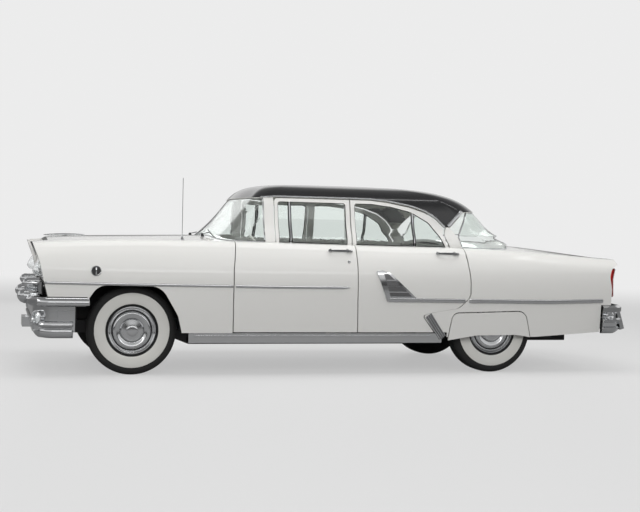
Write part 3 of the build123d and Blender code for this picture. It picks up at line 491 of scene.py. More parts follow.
def on_wheels(model, name, slot, smooth, solid=None):
    """Four copies of a turned piece, one on each wheel, which may stand for a solid there."""
    for corner in ("front_left", "rear_left"):
        wheel = f"wheel_{corner}"
        copy = lay(copy_of(model), joint_of[wheel]["pos_m"], (0, -1, 0))
        left = settle(copy, f"{name}_{corner}", wheel, slot, smooth=smooth)
        right = other_side(left)
        if solid:
            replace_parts(left, f"{solid}_{corner}")
            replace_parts(right, f"{solid}_{corner}".replace("left", "right"))
    pick(model)
    bpy.ops.object.delete()


tread_rows = []
for place in GROOVE_PLACES:
    crown = TYRE_RADIUS - TREAD_ROUNDING * place ** 2
    bottom = crown - GROOVE_DEPTH
    tread_rows += [(place + GROOVE_HALF, crown), (place + GROOVE_BOTTOM_HALF, bottom)]
    tread_rows += [(place - GROOVE_BOTTOM_HALF, bottom), (place - GROOVE_HALF, crown)]
inner_rows = [(-height, radius) for height, radius in reversed(SIDE_ROWS)]
tyre_rows = SIDE_ROWS + tread_rows + inner_rows + [SIDE_ROWS[0]]
tyre = turned(tyre_rows, TYRE_RINGS)

open_mesh(tyre)
for parity, shift in ((0, ZIGZAG), (1, -ZIGZAG)):
    tyre_mesh = bmesh.from_edit_mesh(tyre.data)
    for vertex in tyre_mesh.verts:
        step = round(math.atan2(vertex.co.y, vertex.co.x) / (2 * math.pi) * TYRE_RINGS)
        in_groove = abs(vertex.co.z) < GROOVED_HALF and vertex.co.to_2d().length > GROOVED_FROM
        vertex.select_set(in_groove and step % 2 == parity)
    tyre_mesh.select_flush_mode()
    bmesh.update_edit_mesh(tyre.data)
    bpy.ops.transform.translate(value=(0, 0, shift))
close_mesh()
paint_rings(tyre, "tyre", white_rubber, WHITE_BANDS)
on_wheels(tyre, "whitewall", "tyre", 30, "tyre")
print(len(tyre_rows), "rows of", TYRE_RINGS, "vertices in each tyre")

# %% [markdown]
# ## Wheel covers
# Full-width covers of polished metal hide the steel wheels. Each one is pressed from a disc into rings:
# a rolled edge, a wide rounded band and a raised middle, parted by three grooves. A capped ring of
# vertices is extruded from the back to the nose, and the grooves get near-black paint that is painted shade.

# %% Wheel covers
COVER_RINGS = 96
COVER_ROWS = [(0.0640, 0.1870), (0.0790, 0.1885), (0.0820, 0.1860), (0.0825, 0.1810), (0.0790, 0.1760),
              (0.0760, 0.1720), (0.0780, 0.1680), (0.0775, 0.1640), (0.0735, 0.1600), (0.0700, 0.1580),
              (0.0700, 0.1500), (0.0745, 0.1480), (0.0795, 0.1420), (0.0820, 0.1310), (0.0800, 0.1190),
              (0.0765, 0.1080), (0.0740, 0.1010), (0.0730, 0.0975), (0.0740, 0.0840), (0.0840, 0.0815),
              (0.0890, 0.0760), (0.0880, 0.0680), (0.0840, 0.0630), (0.0810, 0.0605), (0.0810, 0.0515),
              (0.0900, 0.0490), (0.0950, 0.0440), (0.0970, 0.0300), (0.0978, 0.0150), (0.0980, 0.0)]
# Radii between which the cover gets painted shade: a near-black colour that stands for the shadow in its
# three grooves
GROOVE_SHADE_RADII = [(0.1500, 0.1580), (0.0840, 0.0975), (0.0515, 0.0605)]
painted_groove_shade = plain("painted_groove_shade", (0.008, 0.008, 0.008), 0.6, scale=150, depth=0.0001)

cover = turned(COVER_ROWS, COVER_RINGS)
paint_rings(cover, "wheel_cover", painted_groove_shade, GROOVE_SHADE_RADII)
on_wheels(cover, "cover", "wheel_cover", 40)
print("4 covers of", len(COVER_ROWS), "rows")

# %% [markdown]
# ## Bright mouldings along the side
# The mouldings are drawn in side view, as lines of x and z, and then pressed onto the door or fender
# that carries them, so they follow its curve and open with it. A grid with one face for each step of
# the line stands beside the car, its corners are moved to the two edges of the moulding, Shrinkwrap
# projects it sideways onto the panel, and Solidify and Bevel give it its thickness and soft edges.
# The rolled edges of the front bumper's side and the bright line of the sill are made the same way.

# %% Mouldings
BESIDE_Y = -1.2
LINE_STEP = 0.03
TIP_WIDTH = 0.004
LANDED = 0.05
SHARP_CORNER = math.radians(50)
SIDEWAYS = {"wrap_method": "PROJECT", "use_project_x": False, "use_project_y": True, "use_project_z": False,
            "use_positive_direction": True, "use_negative_direction": False}


def spaced(line, step=LINE_STEP):
    """The same line with a point at least every step."""
    points = [line[0]]
    for (x0, z0), (x1, z1) in zip(line, line[1:]):
        count = max(1, math.ceil(math.hypot(x1 - x0, z1 - z0) / step))
        points += [(x0 + (x1 - x0) * i / count, z0 + (z1 - z0) * i / count) for i in range(1, count + 1)]
    return points


def strip(line, width, tip_length=0.0):
    """A flat grid beside the car along a line of x, z; the last stretch may narrow to a tip."""
    points = [Vector((x, z)) for x, z in line]
    runs = [(b - a).normalized() for a, b in zip(points, points[1:])]
    pick(None)
    bpy.ops.mesh.primitive_grid_add(x_subdivisions=len(points) - 1, y_subdivisions=2, size=1)
    piece = bpy.context.object
    columns = {}
    for vertex in piece.data.vertices:
        columns.setdefault(round(vertex.co.x, 4), []).append(vertex)
    left = sum((b - a).length for a, b in zip(points, points[1:]))
    for i, column in enumerate(sorted(columns)):
        before, after = runs[max(i - 1, 0)], runs[min(i, len(runs) - 1)]
        along = (before + after).normalized()
        across = Vector((-along.y, along.x)) / along.dot(after)
        here = width
        if tip_length and left < tip_length:
            here = TIP_WIDTH + (width - TIP_WIDTH) * left / tip_length
        for vertex in columns[column]:
            spot = points[i] + across * vertex.co.y * here
            vertex.co = (spot.x, BESIDE_Y, spot.y)
        if i < len(runs):
            left -= (points[i + 1] - points[i]).length
    return piece


def press_on(piece, panel, thickness, bevel=0.0, segments=2):
    """A flat piece beside the car is projected onto a panel and thickened outwards."""
    apply_modifier(piece, "SHRINKWRAP", target=nodes[panel], offset=0.0, **SIDEWAYS)
    landed = [v.co.copy() for v in piece.data.vertices if v.co.y > BESIDE_Y + LANDED]
    for vertex in piece.data.vertices:
        if vertex.co.y < BESIDE_Y + LANDED:
            nearest = min(landed, key=lambda co: (co.x - vertex.co.x) ** 2 + (co.z - vertex.co.z) ** 2)
            vertex.co.y = nearest.y
    open_mesh(piece)
    bpy.ops.mesh.normals_make_consistent(inside=False)
    close_mesh()
    if sum(face.normal.y * face.area for face in piece.data.polygons) > 0:
        open_mesh(piece)
        bpy.ops.mesh.flip_normals()
        close_mesh()
    apply_modifier(piece, "SOLIDIFY", thickness=thickness, offset=1.0)
    if bevel:
        edges = {"limit_method": "ANGLE", "angle_limit": SHARP_CORNER}
        apply_modifier(piece, "BEVEL", width=bevel, segments=segments, **edges)
    return piece


def side_strip(name, panel, body, line, width, thickness, bevel, tip=0.0, segments=2, smooth=50):
    """A bright strip along a line, pressed onto a panel of the left side, and its twin on the right."""
    piece = press_on(strip(spaced(line), width, tip), panel, thickness, bevel, segments)
    other_side(settle(piece, f"{name}_left", body, "chrome", smooth=smooth))


# Name, panel, body, line of x and z, width, thickness, bevel, length of the pointed tip
MOULDINGS = [
    ("fender_moulding", "front_fender_left", "body",
     [(-2.424, 0.7215), (-1.629, 0.7140), (-0.974, 0.7095)], 0.021, 0.008, 0.0032),
    ("front_door_moulding", "front_door_left", "front_door_left",
     [(-0.953, 0.7094), (-0.435, 0.7065), (-0.016, 0.7080)], 0.021, 0.008, 0.0032, 0.05),
    ("rear_door_moulding", "rear_door_left", "rear_door_left",
     [(0.310, 0.6120), (0.620, 0.6105), (0.985, 0.6085)], 0.034, 0.012, 0.0048),
    ("quarter_moulding", "rear_quarter_left", "body",
     [(1.018, 0.6083), (1.748, 0.6040), (2.262, 0.6155)], 0.034, 0.012, 0.0048),
]
# The same columns for the rolled edges, which have no tip
ROLLED_EDGES = [
    ("bumper_upper_roll", "front_bumper", "body", [(-2.470, 0.5760), (-2.085, 0.5760)], 0.052, 0.016, 0.014),
    ("bumper_lower_roll", "front_bumper", "body", [(-2.455, 0.4000), (-2.215, 0.4000)], 0.040, 0.012, 0.011),
    ("bumper_lip_roll", "front_bumper", "body", [(-2.445, 0.3360), (-2.215, 0.3360)], 0.054, 0.012, 0.011),
    ("sill_line", "sills", "body", [(-1.270, 0.3140), (0.700, 0.3140)], 0.016, 0.006, 0.005),
]
for moulding in MOULDINGS:
    side_strip(*moulding)
for roll in ROLLED_EDGES:
    side_strip(*roll, segments=4, smooth=60)
print(len(MOULDINGS), "mouldings and", len(ROLLED_EDGES), "rolled edges on each side")

# %% [markdown]
# ## Edging of the panes
# Windshield and rear window have a bright edge round them, and the panes of the doors sit in black
# rubber. The edges of the solid panes are already in the right places, so a merged copy of a pane keeps
# only its sharp edges, these become a curve, and a round bevel turns the curve into the edging.

# %% Edging
def edging_of(node, radius):
    """A thin tube along all the sharp edges of a pane."""
    open_mesh(copy_of(nodes[node]))
    bpy.ops.mesh.select_mode(type="EDGE")
    bpy.ops.mesh.remove_doubles(threshold=SAME_POINT)
    bpy.ops.mesh.select_all(action="DESELECT")
    bpy.ops.mesh.edges_select_sharp(sharpness=SHARP_CORNER)
    bpy.ops.mesh.select_all(action="INVERT")
    bpy.ops.mesh.delete(type="EDGE")
    bpy.ops.mesh.select_all(action="SELECT")
    bpy.ops.mesh.delete_loose(use_verts=True, use_edges=False, use_faces=False)
    close_mesh()
    bpy.ops.object.convert(target="CURVE")
    piece = bpy.context.object
    piece.data.bevel_depth = radius
    piece.data.bevel_resolution = 2
    bpy.ops.object.convert(target="MESH")
    piece = bpy.context.object
    piece.data.materials.clear()
    return piece


seal_rubber = plain("seal_rubber", (0.012, 0.012, 0.012), 0.6, scale=200, depth=0.0002)

PANE_RADIUS = 0.0065
DOOR_PANE_RADIUS = 0.0055
# Pane, body, radius of the edging, material slot, finish if it isn't the slot's own
EDGINGS = [
    ("windshield", "body", PANE_RADIUS, "chrome", None),
    ("rear_window", "body", PANE_RADIUS, "chrome", None),
    ("front_door_glass_left", "front_door_left", DOOR_PANE_RADIUS, "tyre", seal_rubber),
    ("rear_door_glass_left", "rear_door_left", DOOR_PANE_RADIUS, "tyre", seal_rubber),
]
for node, body, radius, slot, finish in EDGINGS:
    edging = settle(edging_of(node, radius), f"{node}_edging", body, slot, finish, smooth=60)
    if "left" in node:
        other_side(edging)
print(len(EDGINGS), "kinds of edging")

# %% [markdown]
# ## Gutters, dividing bars and other thin rods
# A rain gutter runs along the roof above the doors and down behind them, and an upright bar parts the
# vent pane from each door's main pane. Both follow the surface, so their points are found with rays
# that are cast sideways onto the solids. A path curve through the points gets a round bevel.

# %% Rods on the surface
def meets(node, start, ahead):
    """The first point of a solid on a ray, or nothing where the ray misses it."""
    hit, place = nodes[node].ray_cast(Vector(start), Vector(ahead))[:2]
    return place if hit else None


def on_skin(node, x, z):
    """The point of a solid that a ray from the left side meets first."""
    return meets(node, (x, BESIDE_Y, z), (0, 1, 0))


def rod(points, radius, resolution=3):
    """A round rod through points, with its ends capped."""
    pick(None)
    bpy.ops.curve.primitive_nurbs_path_add()
    piece = bpy.context.object
    piece.data.splines.clear()
    line = piece.data.splines.new("POLY")
    line.points.add(len(points) - 1)
    for spot, point in zip(points, line.points):
        point.co = (*spot, 1)
    piece.data.bevel_depth = radius
    piece.data.bevel_resolution = resolution
    piece.data.use_fill_caps = True
    bpy.ops.object.convert(target="MESH")
    return bpy.context.object


GUTTER_LINE = [(-0.700, 1.4275), (-0.560, 1.4375), (0.000, 1.4375), (0.240, 1.4370), (0.330, 1.4290),
               (0.405, 1.4200), (0.500, 1.4035), (0.583, 1.3870), (0.655, 1.3660), (0.718, 1.3435),
               (0.768, 1.3130), (0.809, 1.2865), (0.845, 1.2500), (0.878, 1.2180)]
GUTTER_RADIUS = 0.0075
GUTTER_LIFT = 0.0015
GUTTER_OUT = Vector((0, -0.004, 0))
gutter_points = [on_skin("roof_panel", x, z + GUTTER_LIFT) for x, z in spaced(GUTTER_LINE)]
gutter = rod([p + GUTTER_OUT for p in gutter_points if p], GUTTER_RADIUS)
other_side(settle(gutter, "gutter_left", "body", "chrome", smooth=60))

# Door, x of the bar, half its width, z of its foot and of its head
PANE_BARS = [("front", -0.465, 0.011, 1.040, 1.392), ("rear", 0.598, 0.010, 1.040, 1.325)]
PANE_BAR_RADIUS = 0.0095
PANE_BAR_SINK = 0.002
BESIDE_BAR = 0.006
for door, x, half, low, high in PANE_BARS:
    heights = [low + (high - low) * i / 8 for i in range(9)]
    found = [on_skin(f"{door}_door_glass_left", x - half - BESIDE_BAR, z) for z in heights]
    bar = rod([Vector((x, p.y + PANE_BAR_SINK, p.z)) for p in found if p], PANE_BAR_RADIUS)
    other_side(settle(bar, f"{door}_pane_bar_left", f"{door}_door_left", "chrome", smooth=60))
print("gutter of", len(gutter_points), "points, pane bars", len(PANE_BARS))

# %% [markdown]
# ## The crown of the roof
# A pressed roof is highest in its middle and falls away everywhere, so its mirror image has no edge in
# it. A grid is drawn out into an ellipse whose rim lies a little inside the solid's surface, found with
# rays from above, and whose middle rises in one soft curve. It is painted as the roof is.

# %% Roof crown
CROWN_MIDDLE = Vector((0.02, 0.0))
CROWN_HALF = Vector((0.62, 0.44))
CROWN_TOP = 1.5536
CROWN_SINK = 0.0008
CROWN_THICKNESS = 0.0015
pick(None)
bpy.ops.mesh.primitive_grid_add(x_subdivisions=48, y_subdivisions=48, size=2)
crown = bpy.context.object
for vertex in crown.data.vertices:
    along, across = vertex.co.x, vertex.co.y
    disc = Vector((along * math.sqrt(1 - across ** 2 / 2), across * math.sqrt(1 - along ** 2 / 2)))
    radius = min(1.0, disc.length)
    edge = disc.normalized() if radius > 0.001 else Vector((1, 0))
    rim = meets("roof_panel", (*(CROWN_MIDDLE + edge * CROWN_HALF), 3.0), (0, 0, -1)).z
    height = rim + (CROWN_TOP - rim) * (1 - radius ** 3) - CROWN_SINK * radius ** 8
    vertex.co = (*(CROWN_MIDDLE + disc * CROWN_HALF), height)
apply_modifier(crown, "SOLIDIFY", thickness=CROWN_THICKNESS, offset=-1.0)
settle(crown, "roof_crown", "body", "roof_paint")
print("the crown rises to", round(max(v.co.z for v in crown.data.vertices), 4))

# %% [markdown]
# ## Bands at the ends of the roof and the stone shields
# Flat bright pieces that follow the body: a band closes the black roof behind the rear door, and a
# ribbed shield on the lower quarter keeps stones off the paint. They are strips like the mouldings.
# The shield's sheet between its chrome ribs is a dark satin metal, darkened there as painted shade.

# %% Bands and shields
BAND_LINE = spaced([(0.912, 1.2230), (1.046, 1.3570)], 0.015)
side_strip("roof_band", "roof_panel", "body", BAND_LINE, 0.030, 0.006, 0.002)

SHIELD_LINE = [(0.667, 0.487), (0.742, 0.383), (0.803, 0.299)]
SHIELD_STEP = 0.02
SHIELD_PANEL = "rear_quarter_left"
# Width, thickness and bevel
SHIELD_SHEET = (0.062, 0.004, 0.0015)
SHIELD_RIB = (0.006, 0.008, 0.002)
RIB_OFFSETS = (-0.022, -0.0075, 0.0075, 0.022)
RIB_SLANT = 0.7
# A satin metal whose dark tone is partly painted shade: on the shield it stands for the shade between the
# chrome ribs, in the scoop for the shade behind the louvres
shaded_satin_metal = plain("shaded_satin_metal", (0.22, 0.22, 0.225), 0.35, 0.9, scale=200, depth=0.0001)


def shield_strip(offset, width, thickness, bevel, finish):
    """One strip of the shield, beside its line by an offset."""
    line = [(x + offset, z + offset * RIB_SLANT) for x, z in SHIELD_LINE]
    piece = press_on(strip(spaced(line, SHIELD_STEP), width), SHIELD_PANEL, thickness, bevel)
    piece.data.materials.append(finish)
    return piece


# The shield's sheet gets the dark satin metal, painted shade between its ribs
shield_pieces = [shield_strip(0.0, *SHIELD_SHEET, shaded_satin_metal)]
for offset in RIB_OFFSETS:
    shield_pieces.append(shield_strip(offset, *SHIELD_RIB, FINISHES["chrome"]))
other_side(settle(joined(shield_pieces), "stone_shield_left", "body", "chrome"))
print("a roof band and a shield with", len(RIB_OFFSETS), "ribs on each side")

# %% [markdown]
# ## Door handles and lock buttons
# Pull handles of the 1950s are cast: two feet carry a slim arched grip, with a round push button behind
# it. A long block is subdivided, its vertices are moved in towards the door near both ends and drawn
# together there, and a subdivision rounds it. The feet and the button are turned pieces.

# %% Handles
GRIP_OUT = (0.040, 0.028)
GRIP_HEIGHTS = (-0.014, 0.006)
GRIP_AXIS = -0.004
GRIP_ARCH = 0.018
GRIP_TAPER = 0.45
HANDLE_FOOT_ROWS = [(-0.006, 0.016), (0.004, 0.016), (0.010, 0.011), (0.034, 0.008)]
PUSH_BUTTON_ROWS = [(0.0, 0.011), (0.022, 0.011), (0.025, 0.009), (0.026, 0.0)]
LOCK_ROWS = [(-0.004, 0.012), (0.004, 0.012), (0.006, 0.009), (0.005, 0.007), (0.007, 0.0)]
OUTWARDS = (0, -1, 0)
SKIN_INSET = 0.020
SKIN_DROP = 0.010
FOOT_INSETS = (0.020, 0.024)
BUTTON_OFFSET = Vector((0.004, 0.002, -0.006))
# Door, x of the grip's two ends, z
HANDLES = [("front", -0.190, 0.000, 1.008), ("rear", 0.735, 0.925, 1.000)]
LOCK_X, LOCK_Z = -0.021, 0.915


def door_handle(door, x_from, x_to, z):
    """Grip, two feet and a push button, at the skin of one door."""
    node = f"{door}_door_left"
    front = on_skin(node, x_from + SKIN_INSET, z)
    rear = on_skin(node, x_to - SKIN_INSET, z - SKIN_DROP)
    skin_y = (front.y + rear.y) / 2
    grip = block((x_from, skin_y - GRIP_OUT[0], z + GRIP_HEIGHTS[0]),
                 (x_to, skin_y - GRIP_OUT[1], z + GRIP_HEIGHTS[1]))
    open_mesh(grip)
    bpy.ops.mesh.subdivide(number_cuts=6)
    close_mesh()
    middle, half = (x_from + x_to) / 2, (x_to - x_from) / 2
    axis_z = z + GRIP_AXIS
    for vertex in grip.data.vertices:
        share = abs(vertex.co.x - middle) / half
        vertex.co.y += GRIP_ARCH * share ** 4
        vertex.co.z = axis_z + (vertex.co.z - axis_z) * (1 - GRIP_TAPER * share ** 3)
    apply_modifier(grip, "SUBSURF", levels=1, render_levels=1)
    pieces = [grip]
    for foot_x in (x_from + FOOT_INSETS[0], x_to - FOOT_INSETS[1]):
        pieces.append(lay(turned(HANDLE_FOOT_ROWS, 20), (foot_x, skin_y, axis_z), OUTWARDS))
    pieces.append(lay(turned(PUSH_BUTTON_ROWS, 20), Vector((x_to, skin_y, z)) + BUTTON_OFFSET, OUTWARDS))
    handle = joined(pieces)
    close_up(handle)
    other_side(settle(handle, f"{door}_handle_left", node, "chrome"))


for handle_row in HANDLES:
    door_handle(*handle_row)
lock_place = on_skin("front_door_left", LOCK_X, LOCK_Z)
lock = lay(turned(LOCK_ROWS, 24), lock_place, OUTWARDS)
other_side(settle(lock, "lock_left", "front_door_left", "chrome"))
print("lock at", tuple(round(c, 3) for c in lock_place))

# %% [markdown]
# ## Headlamps and round bumper lamps
# The headlamp sits deep under the brow of the fender: a painted seat closes the fender's opening, a
# bright bezel stands in it, and a bulging glass reaches furthest forward below its middle. They are
# turned pieces, extruded ring by ring, and the glass is leant downwards by moving its rings. It gets a
# wall with Solidify, so that light is bent as it goes in and again as it comes out.

# %% Lamps of the car
FORWARD = (-1, 0, 0)
SEAT_PLACE = (-2.432, -0.755, 0.868)
LAMP_PLACE = (-2.432, -0.755, 0.846)
SEAT_ROWS = [(-0.050, 0.060), (-0.020, 0.1010), (0.004, 0.1015), (0.010, 0.0990), (0.000, 0.0900),
             (-0.020, 0.0860), (-0.020, 0.0)]
BEZEL_ROWS = [(-0.020, 0.0770), (-0.020, 0.0825), (-0.002, 0.0825), (0.006, 0.0810), (0.011, 0.0775),
              (0.008, 0.0730), (-0.008, 0.0720), (-0.020, 0.0770)]
BOWL_ROWS = [(0.004, 0.0725), (-0.002, 0.0700), (-0.008, 0.0600), (-0.015, 0.0400), (-0.018, 0.0160),
             (-0.018, 0.0)]
DOME_ROWS = [(0.004, 0.0725), (0.020, 0.0700), (0.042, 0.0590), (0.060, 0.0420), (0.073, 0.0230),
             (0.080, 0.0)]
DOME_DROP = 0.040
BUMPER_LAMP_PLACE = (-2.4546, -0.8334, 0.452)
TAIL_RADIUS = 0.003
BUMPER_LAMP_AHEAD = (-0.7656, -0.6433, 0.0)
LENS_WALL = 0.003
BOWL_WALL = 0.002
LENS_ROWS = [(0.024, 0.0400), (0.030, 0.0385), (0.036, 0.0290), (0.040, 0.0150), (0.041, 0.0)]


def lens(rows, place, ahead, drop, name):
    """A domed glass with a wall, laid at its place; its nose may hang lower than its rim."""
    piece = turned(rows, 48, shell=True)
    apply_modifier(piece, "SOLIDIFY", thickness=LENS_WALL, offset=-1.0)
    low, high = rows[0][0], rows[-1][0]
    heights = [v.co.z for v in piece.data.vertices]
    lay(piece, place, ahead)
    for vertex, height in zip(piece.data.vertices, heights):
        vertex.co.z -= drop * max(0.0, (height - low) / (high - low))
    other_side(settle(piece, name, "body", "lamp_glass", smooth=60))


seat = lay(turned(SEAT_ROWS, 64), SEAT_PLACE, FORWARD)
settle(seat, "lamp_seat_left", "body", "body_paint")
bowl = turned(BOWL_ROWS, 64, shell=True)
apply_modifier(bowl, "SOLIDIFY", thickness=BOWL_WALL, offset=1.0)
bezel = lay(joined([turned(BEZEL_ROWS, 64), bowl]), LAMP_PLACE, FORWARD)
settle(bezel, "lamp_bezel_left", "body", "chrome")
for piece in (seat, bezel):
    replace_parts(piece, "headlamps")
    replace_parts(other_side(piece), "headlamps")
lens(DOME_ROWS, LAMP_PLACE, FORWARD, DOME_DROP, "lamp_dome_left")
lens(LENS_ROWS, BUMPER_LAMP_PLACE, BUMPER_LAMP_AHEAD, 0.0, "bumper_lens_left")
tail_edging = settle(edging_of("tail_lamps", TAIL_RADIUS), "tail_lamp_edging", "body", "chrome", smooth=60)
print("headlamps, bumper lamps and", tail_edging.name)

# %% [markdown]
# ## Scoops and badges
# The scoop on the rear door is a bright casting with louvres over a satin recess, so its recess gets a
# thin sheet of dark satin metal that lies between the louvres' feet; its dark tone is partly painted
# shade behind the louvres. The round badge on the fender is a dark disc in a bright ring with a bar
# across it. The disc and the ring are turned pieces.

# %% Scoop recesses and badges
# Corners of the recess as x and z: upper front, upper rear, lower rear, lower front
RECESS_CORNERS = [(0.262, 0.822), (0.312, 0.822), (0.520, 0.640), (0.318, 0.640)]
RECESS_CUTS = 14
RECESS_THICKNESS = 0.0056
BADGE_BAR = [(-0.005, -0.031, -0.004), (0.005, 0.031, 0.005)]
BADGE_RING_ROWS = [(-0.006, 0.036), (-0.006, 0.041), (0.005, 0.0405), (0.008, 0.037), (0.005, 0.034),
                   (-0.006, 0.036)]
BADGE_DISC_ROWS = [(-0.006, 0.0355), (0.002, 0.0355), (0.003, 0.0)]
BADGE_X, BADGE_Z = -2.039, 0.816
BADGE_AHEAD = (0, -1, 0.02)
dark_lining = plain("dark_lining", (0.030, 0.030, 0.032), 0.45, scale=150, depth=0.0002)

pick(None)
bpy.ops.mesh.primitive_grid_add(x_subdivisions=RECESS_CUTS, y_subdivisions=RECESS_CUTS, size=1)
recess = bpy.context.object
upper_front, upper_rear, lower_rear, lower_front = [Vector(corner) for corner in RECESS_CORNERS]
for vertex in recess.data.vertices:
    along, up = vertex.co.x + 0.5, vertex.co.y + 0.5
    spot = lower_front.lerp(lower_rear, along).lerp(upper_front.lerp(upper_rear, along), up)
    vertex.co = (spot.x, BESIDE_Y, spot.y)
press_on(recess, "rear_door_left", RECESS_THICKNESS)
# The recess gets the dark satin metal, partly painted shade behind the louvres
other_side(settle(recess, "scoop_recess_left", "rear_door_left", "chrome", shaded_satin_metal, smooth=40))

badge_place = on_skin("front_fender_left", BADGE_X, BADGE_Z)
badge_bar = block(*BADGE_BAR, 0.0015)
badge_ring = lay(joined([turned(BADGE_RING_ROWS, 48), badge_bar]), badge_place, BADGE_AHEAD)
other_side(settle(badge_ring, "badge_ring_left", "body", "chrome"))
badge_disc = lay(turned(BADGE_DISC_ROWS, 48), badge_place, BADGE_AHEAD)
other_side(settle(badge_disc, "badge_disc_left", "body", "underbody", dark_lining))
print("badges at", tuple(round(c, 3) for c in badge_place))

# %% [markdown]
# ## The dark of the grille
# The grille's teeth are bright and the plate behind them is black, which one finish can do: it reads
# the depth along the car and changes from chrome to black just ahead of the plate.

# %% Finish of the grille
PLATE_X = -2.4325
TEETH_ROUGHNESS = 0.08
PLATE_ROUGHNESS = 0.6
PLATE_TONE = (0.015, 0.015, 0.015)

grille_finish = new_finish("grille_chrome", CHROME_TONE, TEETH_ROUGHNESS, 1.0)
tree = grille_finish.node_tree
place = add_node(tree, "TexCoord", {})
parts = add_node(tree, "SeparateXYZ", {0: place.outputs["Object"]})
behind = add_node(tree, "Math", {0: parts.outputs["X"], 1: PLATE_X}, operation="GREATER_THAN").outputs[0]
metal = add_node(tree, "MapRange", {"Value": behind, "To Min": 1.0, "To Max": 0.0})
polish = add_node(tree, "MapRange", {"Value": behind, "To Min": TEETH_ROUGHNESS, "To Max": PLATE_ROUGHNESS})
tones = {"Factor": behind, "A": (*CHROME_TONE, 1), "B": (*PLATE_TONE, 1)}
tone = add_node(tree, "Mix", tones, data_type="RGBA")
grille_inputs = {"Base Color": tone, "Metallic": metal, "Roughness": polish}
feed_shader(grille_finish, {socket: node.outputs["Result"] for socket, node in grille_inputs.items()})
nodes["grille"].data.materials.clear()
nodes["grille"].data.materials.append(grille_finish)
print("the grille turns black behind x", PLATE_X)

# %% [markdown]
# ## Hood ornament, wipers and aerial
# The ornament is a slim cast spear with two short wings on a long foot. A turned body is flattened and
# the wings are tapered blocks. A wiper is an arm that springs from a pivot on the cowl and a blade
# that lies along the glass, found with rays from ahead. The aerial is a thin steel mast on a foot.

# %% Ornament
ORNAMENT_PLACE = (-2.404, 0.0, 1.080)
ORNAMENT_ROWS = [(0.0, 0.0015), (0.012, 0.0060), (0.050, 0.0120), (0.110, 0.0165), (0.190, 0.0175),
                 (0.270, 0.0135), (0.325, 0.0070), (0.340, 0.0)]
ORNAMENT_FOOT = [(-2.330, -0.009, 1.040), (-2.066, 0.009, 1.083)]
ORNAMENT_WINGS = [(-2.300, -0.062, 1.0795), (-2.205, 0.062, 1.0855)]
WING_SWEEP = 0.055
SPEAR_FLATNESS = 0.72

spear = turned(ORNAMENT_ROWS, 32)
open_mesh(spear)
bpy.ops.transform.resize(value=(1, SPEAR_FLATNESS, 1))
close_up(spear)
lay(spear, ORNAMENT_PLACE, (1, 0, 0.02))
foot = block(*ORNAMENT_FOOT, 0.004)
wings = block(*ORNAMENT_WINGS, 0.002)
for vertex in wings.data.vertices:
    if abs(vertex.co.y) > 0.05 and vertex.co.x < -2.25:
        vertex.co.x += WING_SWEEP
ornament = settle(joined([spear, foot, wings]), "ornament_spear", "hood", "chrome")
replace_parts(ornament, "hood_ornament")
print("ornament of", len(ornament.data.vertices), "vertices")

# %% Wipers and aerial
BLADE_FOOT = (-0.130, 1.150)
BLADE_STEP = (-0.037, -0.0055)
BLADE_POINTS = 11
BLADE_AHEAD = 0.012
BLADE_RADIUS = 0.0035
ARM_RADIUS = 0.0038
PIVOT_PLACE = Vector((-1.122, -0.330, 1.098))
PIVOT_ROWS = [(-0.006, 0.014), (0.010, 0.013), (0.024, 0.009), (0.026, 0.0)]
AERIAL_X, AERIAL_Y, AERIAL_TOP = -1.360, -0.780, 1.557
AERIAL_RADIUS = 0.0022
AERIAL_FOOT_ROWS = [(-0.004, 0.017), (0.006, 0.016), (0.016, 0.009), (0.040, 0.005), (0.042, 0.0)]


def on_glass(y, z, ahead):
    """A point that far ahead of the windshield."""
    return meets("windshield", (-2.0, y, z), (1, 0, 0)) + Vector((-ahead, 0, 0.3 * ahead))


blade_points = []
for i in range(BLADE_POINTS):
    blade_y, blade_z = [start + step * i for start, step in zip(BLADE_FOOT, BLADE_STEP)]
    blade_points.append(on_glass(blade_y, blade_z, BLADE_AHEAD))
elbow = PIVOT_PLACE + Vector((0.004, 0, 0.020))
arm_points = [PIVOT_PLACE, elbow, blade_points[BLADE_POINTS // 2] + Vector((-0.010, 0, 0.004))]
pivot = lay(turned(PIVOT_ROWS, 24), PIVOT_PLACE, (-0.2, 0, 1))
wiper = joined([rod(blade_points, BLADE_RADIUS), rod(arm_points, ARM_RADIUS), pivot])
other_side(settle(wiper, "wiper_left", "body", "dark_steel"))

aerial_place = meets("front_fender_left", (AERIAL_X, AERIAL_Y, 2.0), (0, 0, -1))
mast = rod([aerial_place, Vector((AERIAL_X, AERIAL_Y, AERIAL_TOP))], AERIAL_RADIUS)
aerial = joined([mast, lay(turned(AERIAL_FOOT_ROWS, 24), aerial_place)])
settle(aerial, "aerial", "body", "chrome")
print("two wipers, and an aerial up to", AERIAL_TOP)

# %% [markdown]
# ## Linings
# Inside, doors, roof and floor are covered with sheets that follow the metal. A lining starts as a copy
# of the panel that it covers: the copy is merged, only the faces that look into the cabin are kept,
# and Solidify gives them the thickness of the sheet.

# %% Door cards, headliner and carpet
LINING_THICKNESS = 0.004
CARPET_THICKNESS = 0.006
card_finish = plain("card_vinyl", (0.55, 0.54, 0.50), 0.5, scale=220, depth=0.0003)
headliner_finish = plain("headliner_cloth", (0.62, 0.61, 0.57), 0.9, scale=350, depth=0.0003)
carpet_finish = plain("carpet", (0.10, 0.10, 0.10), 0.95, scale=500, depth=0.002)


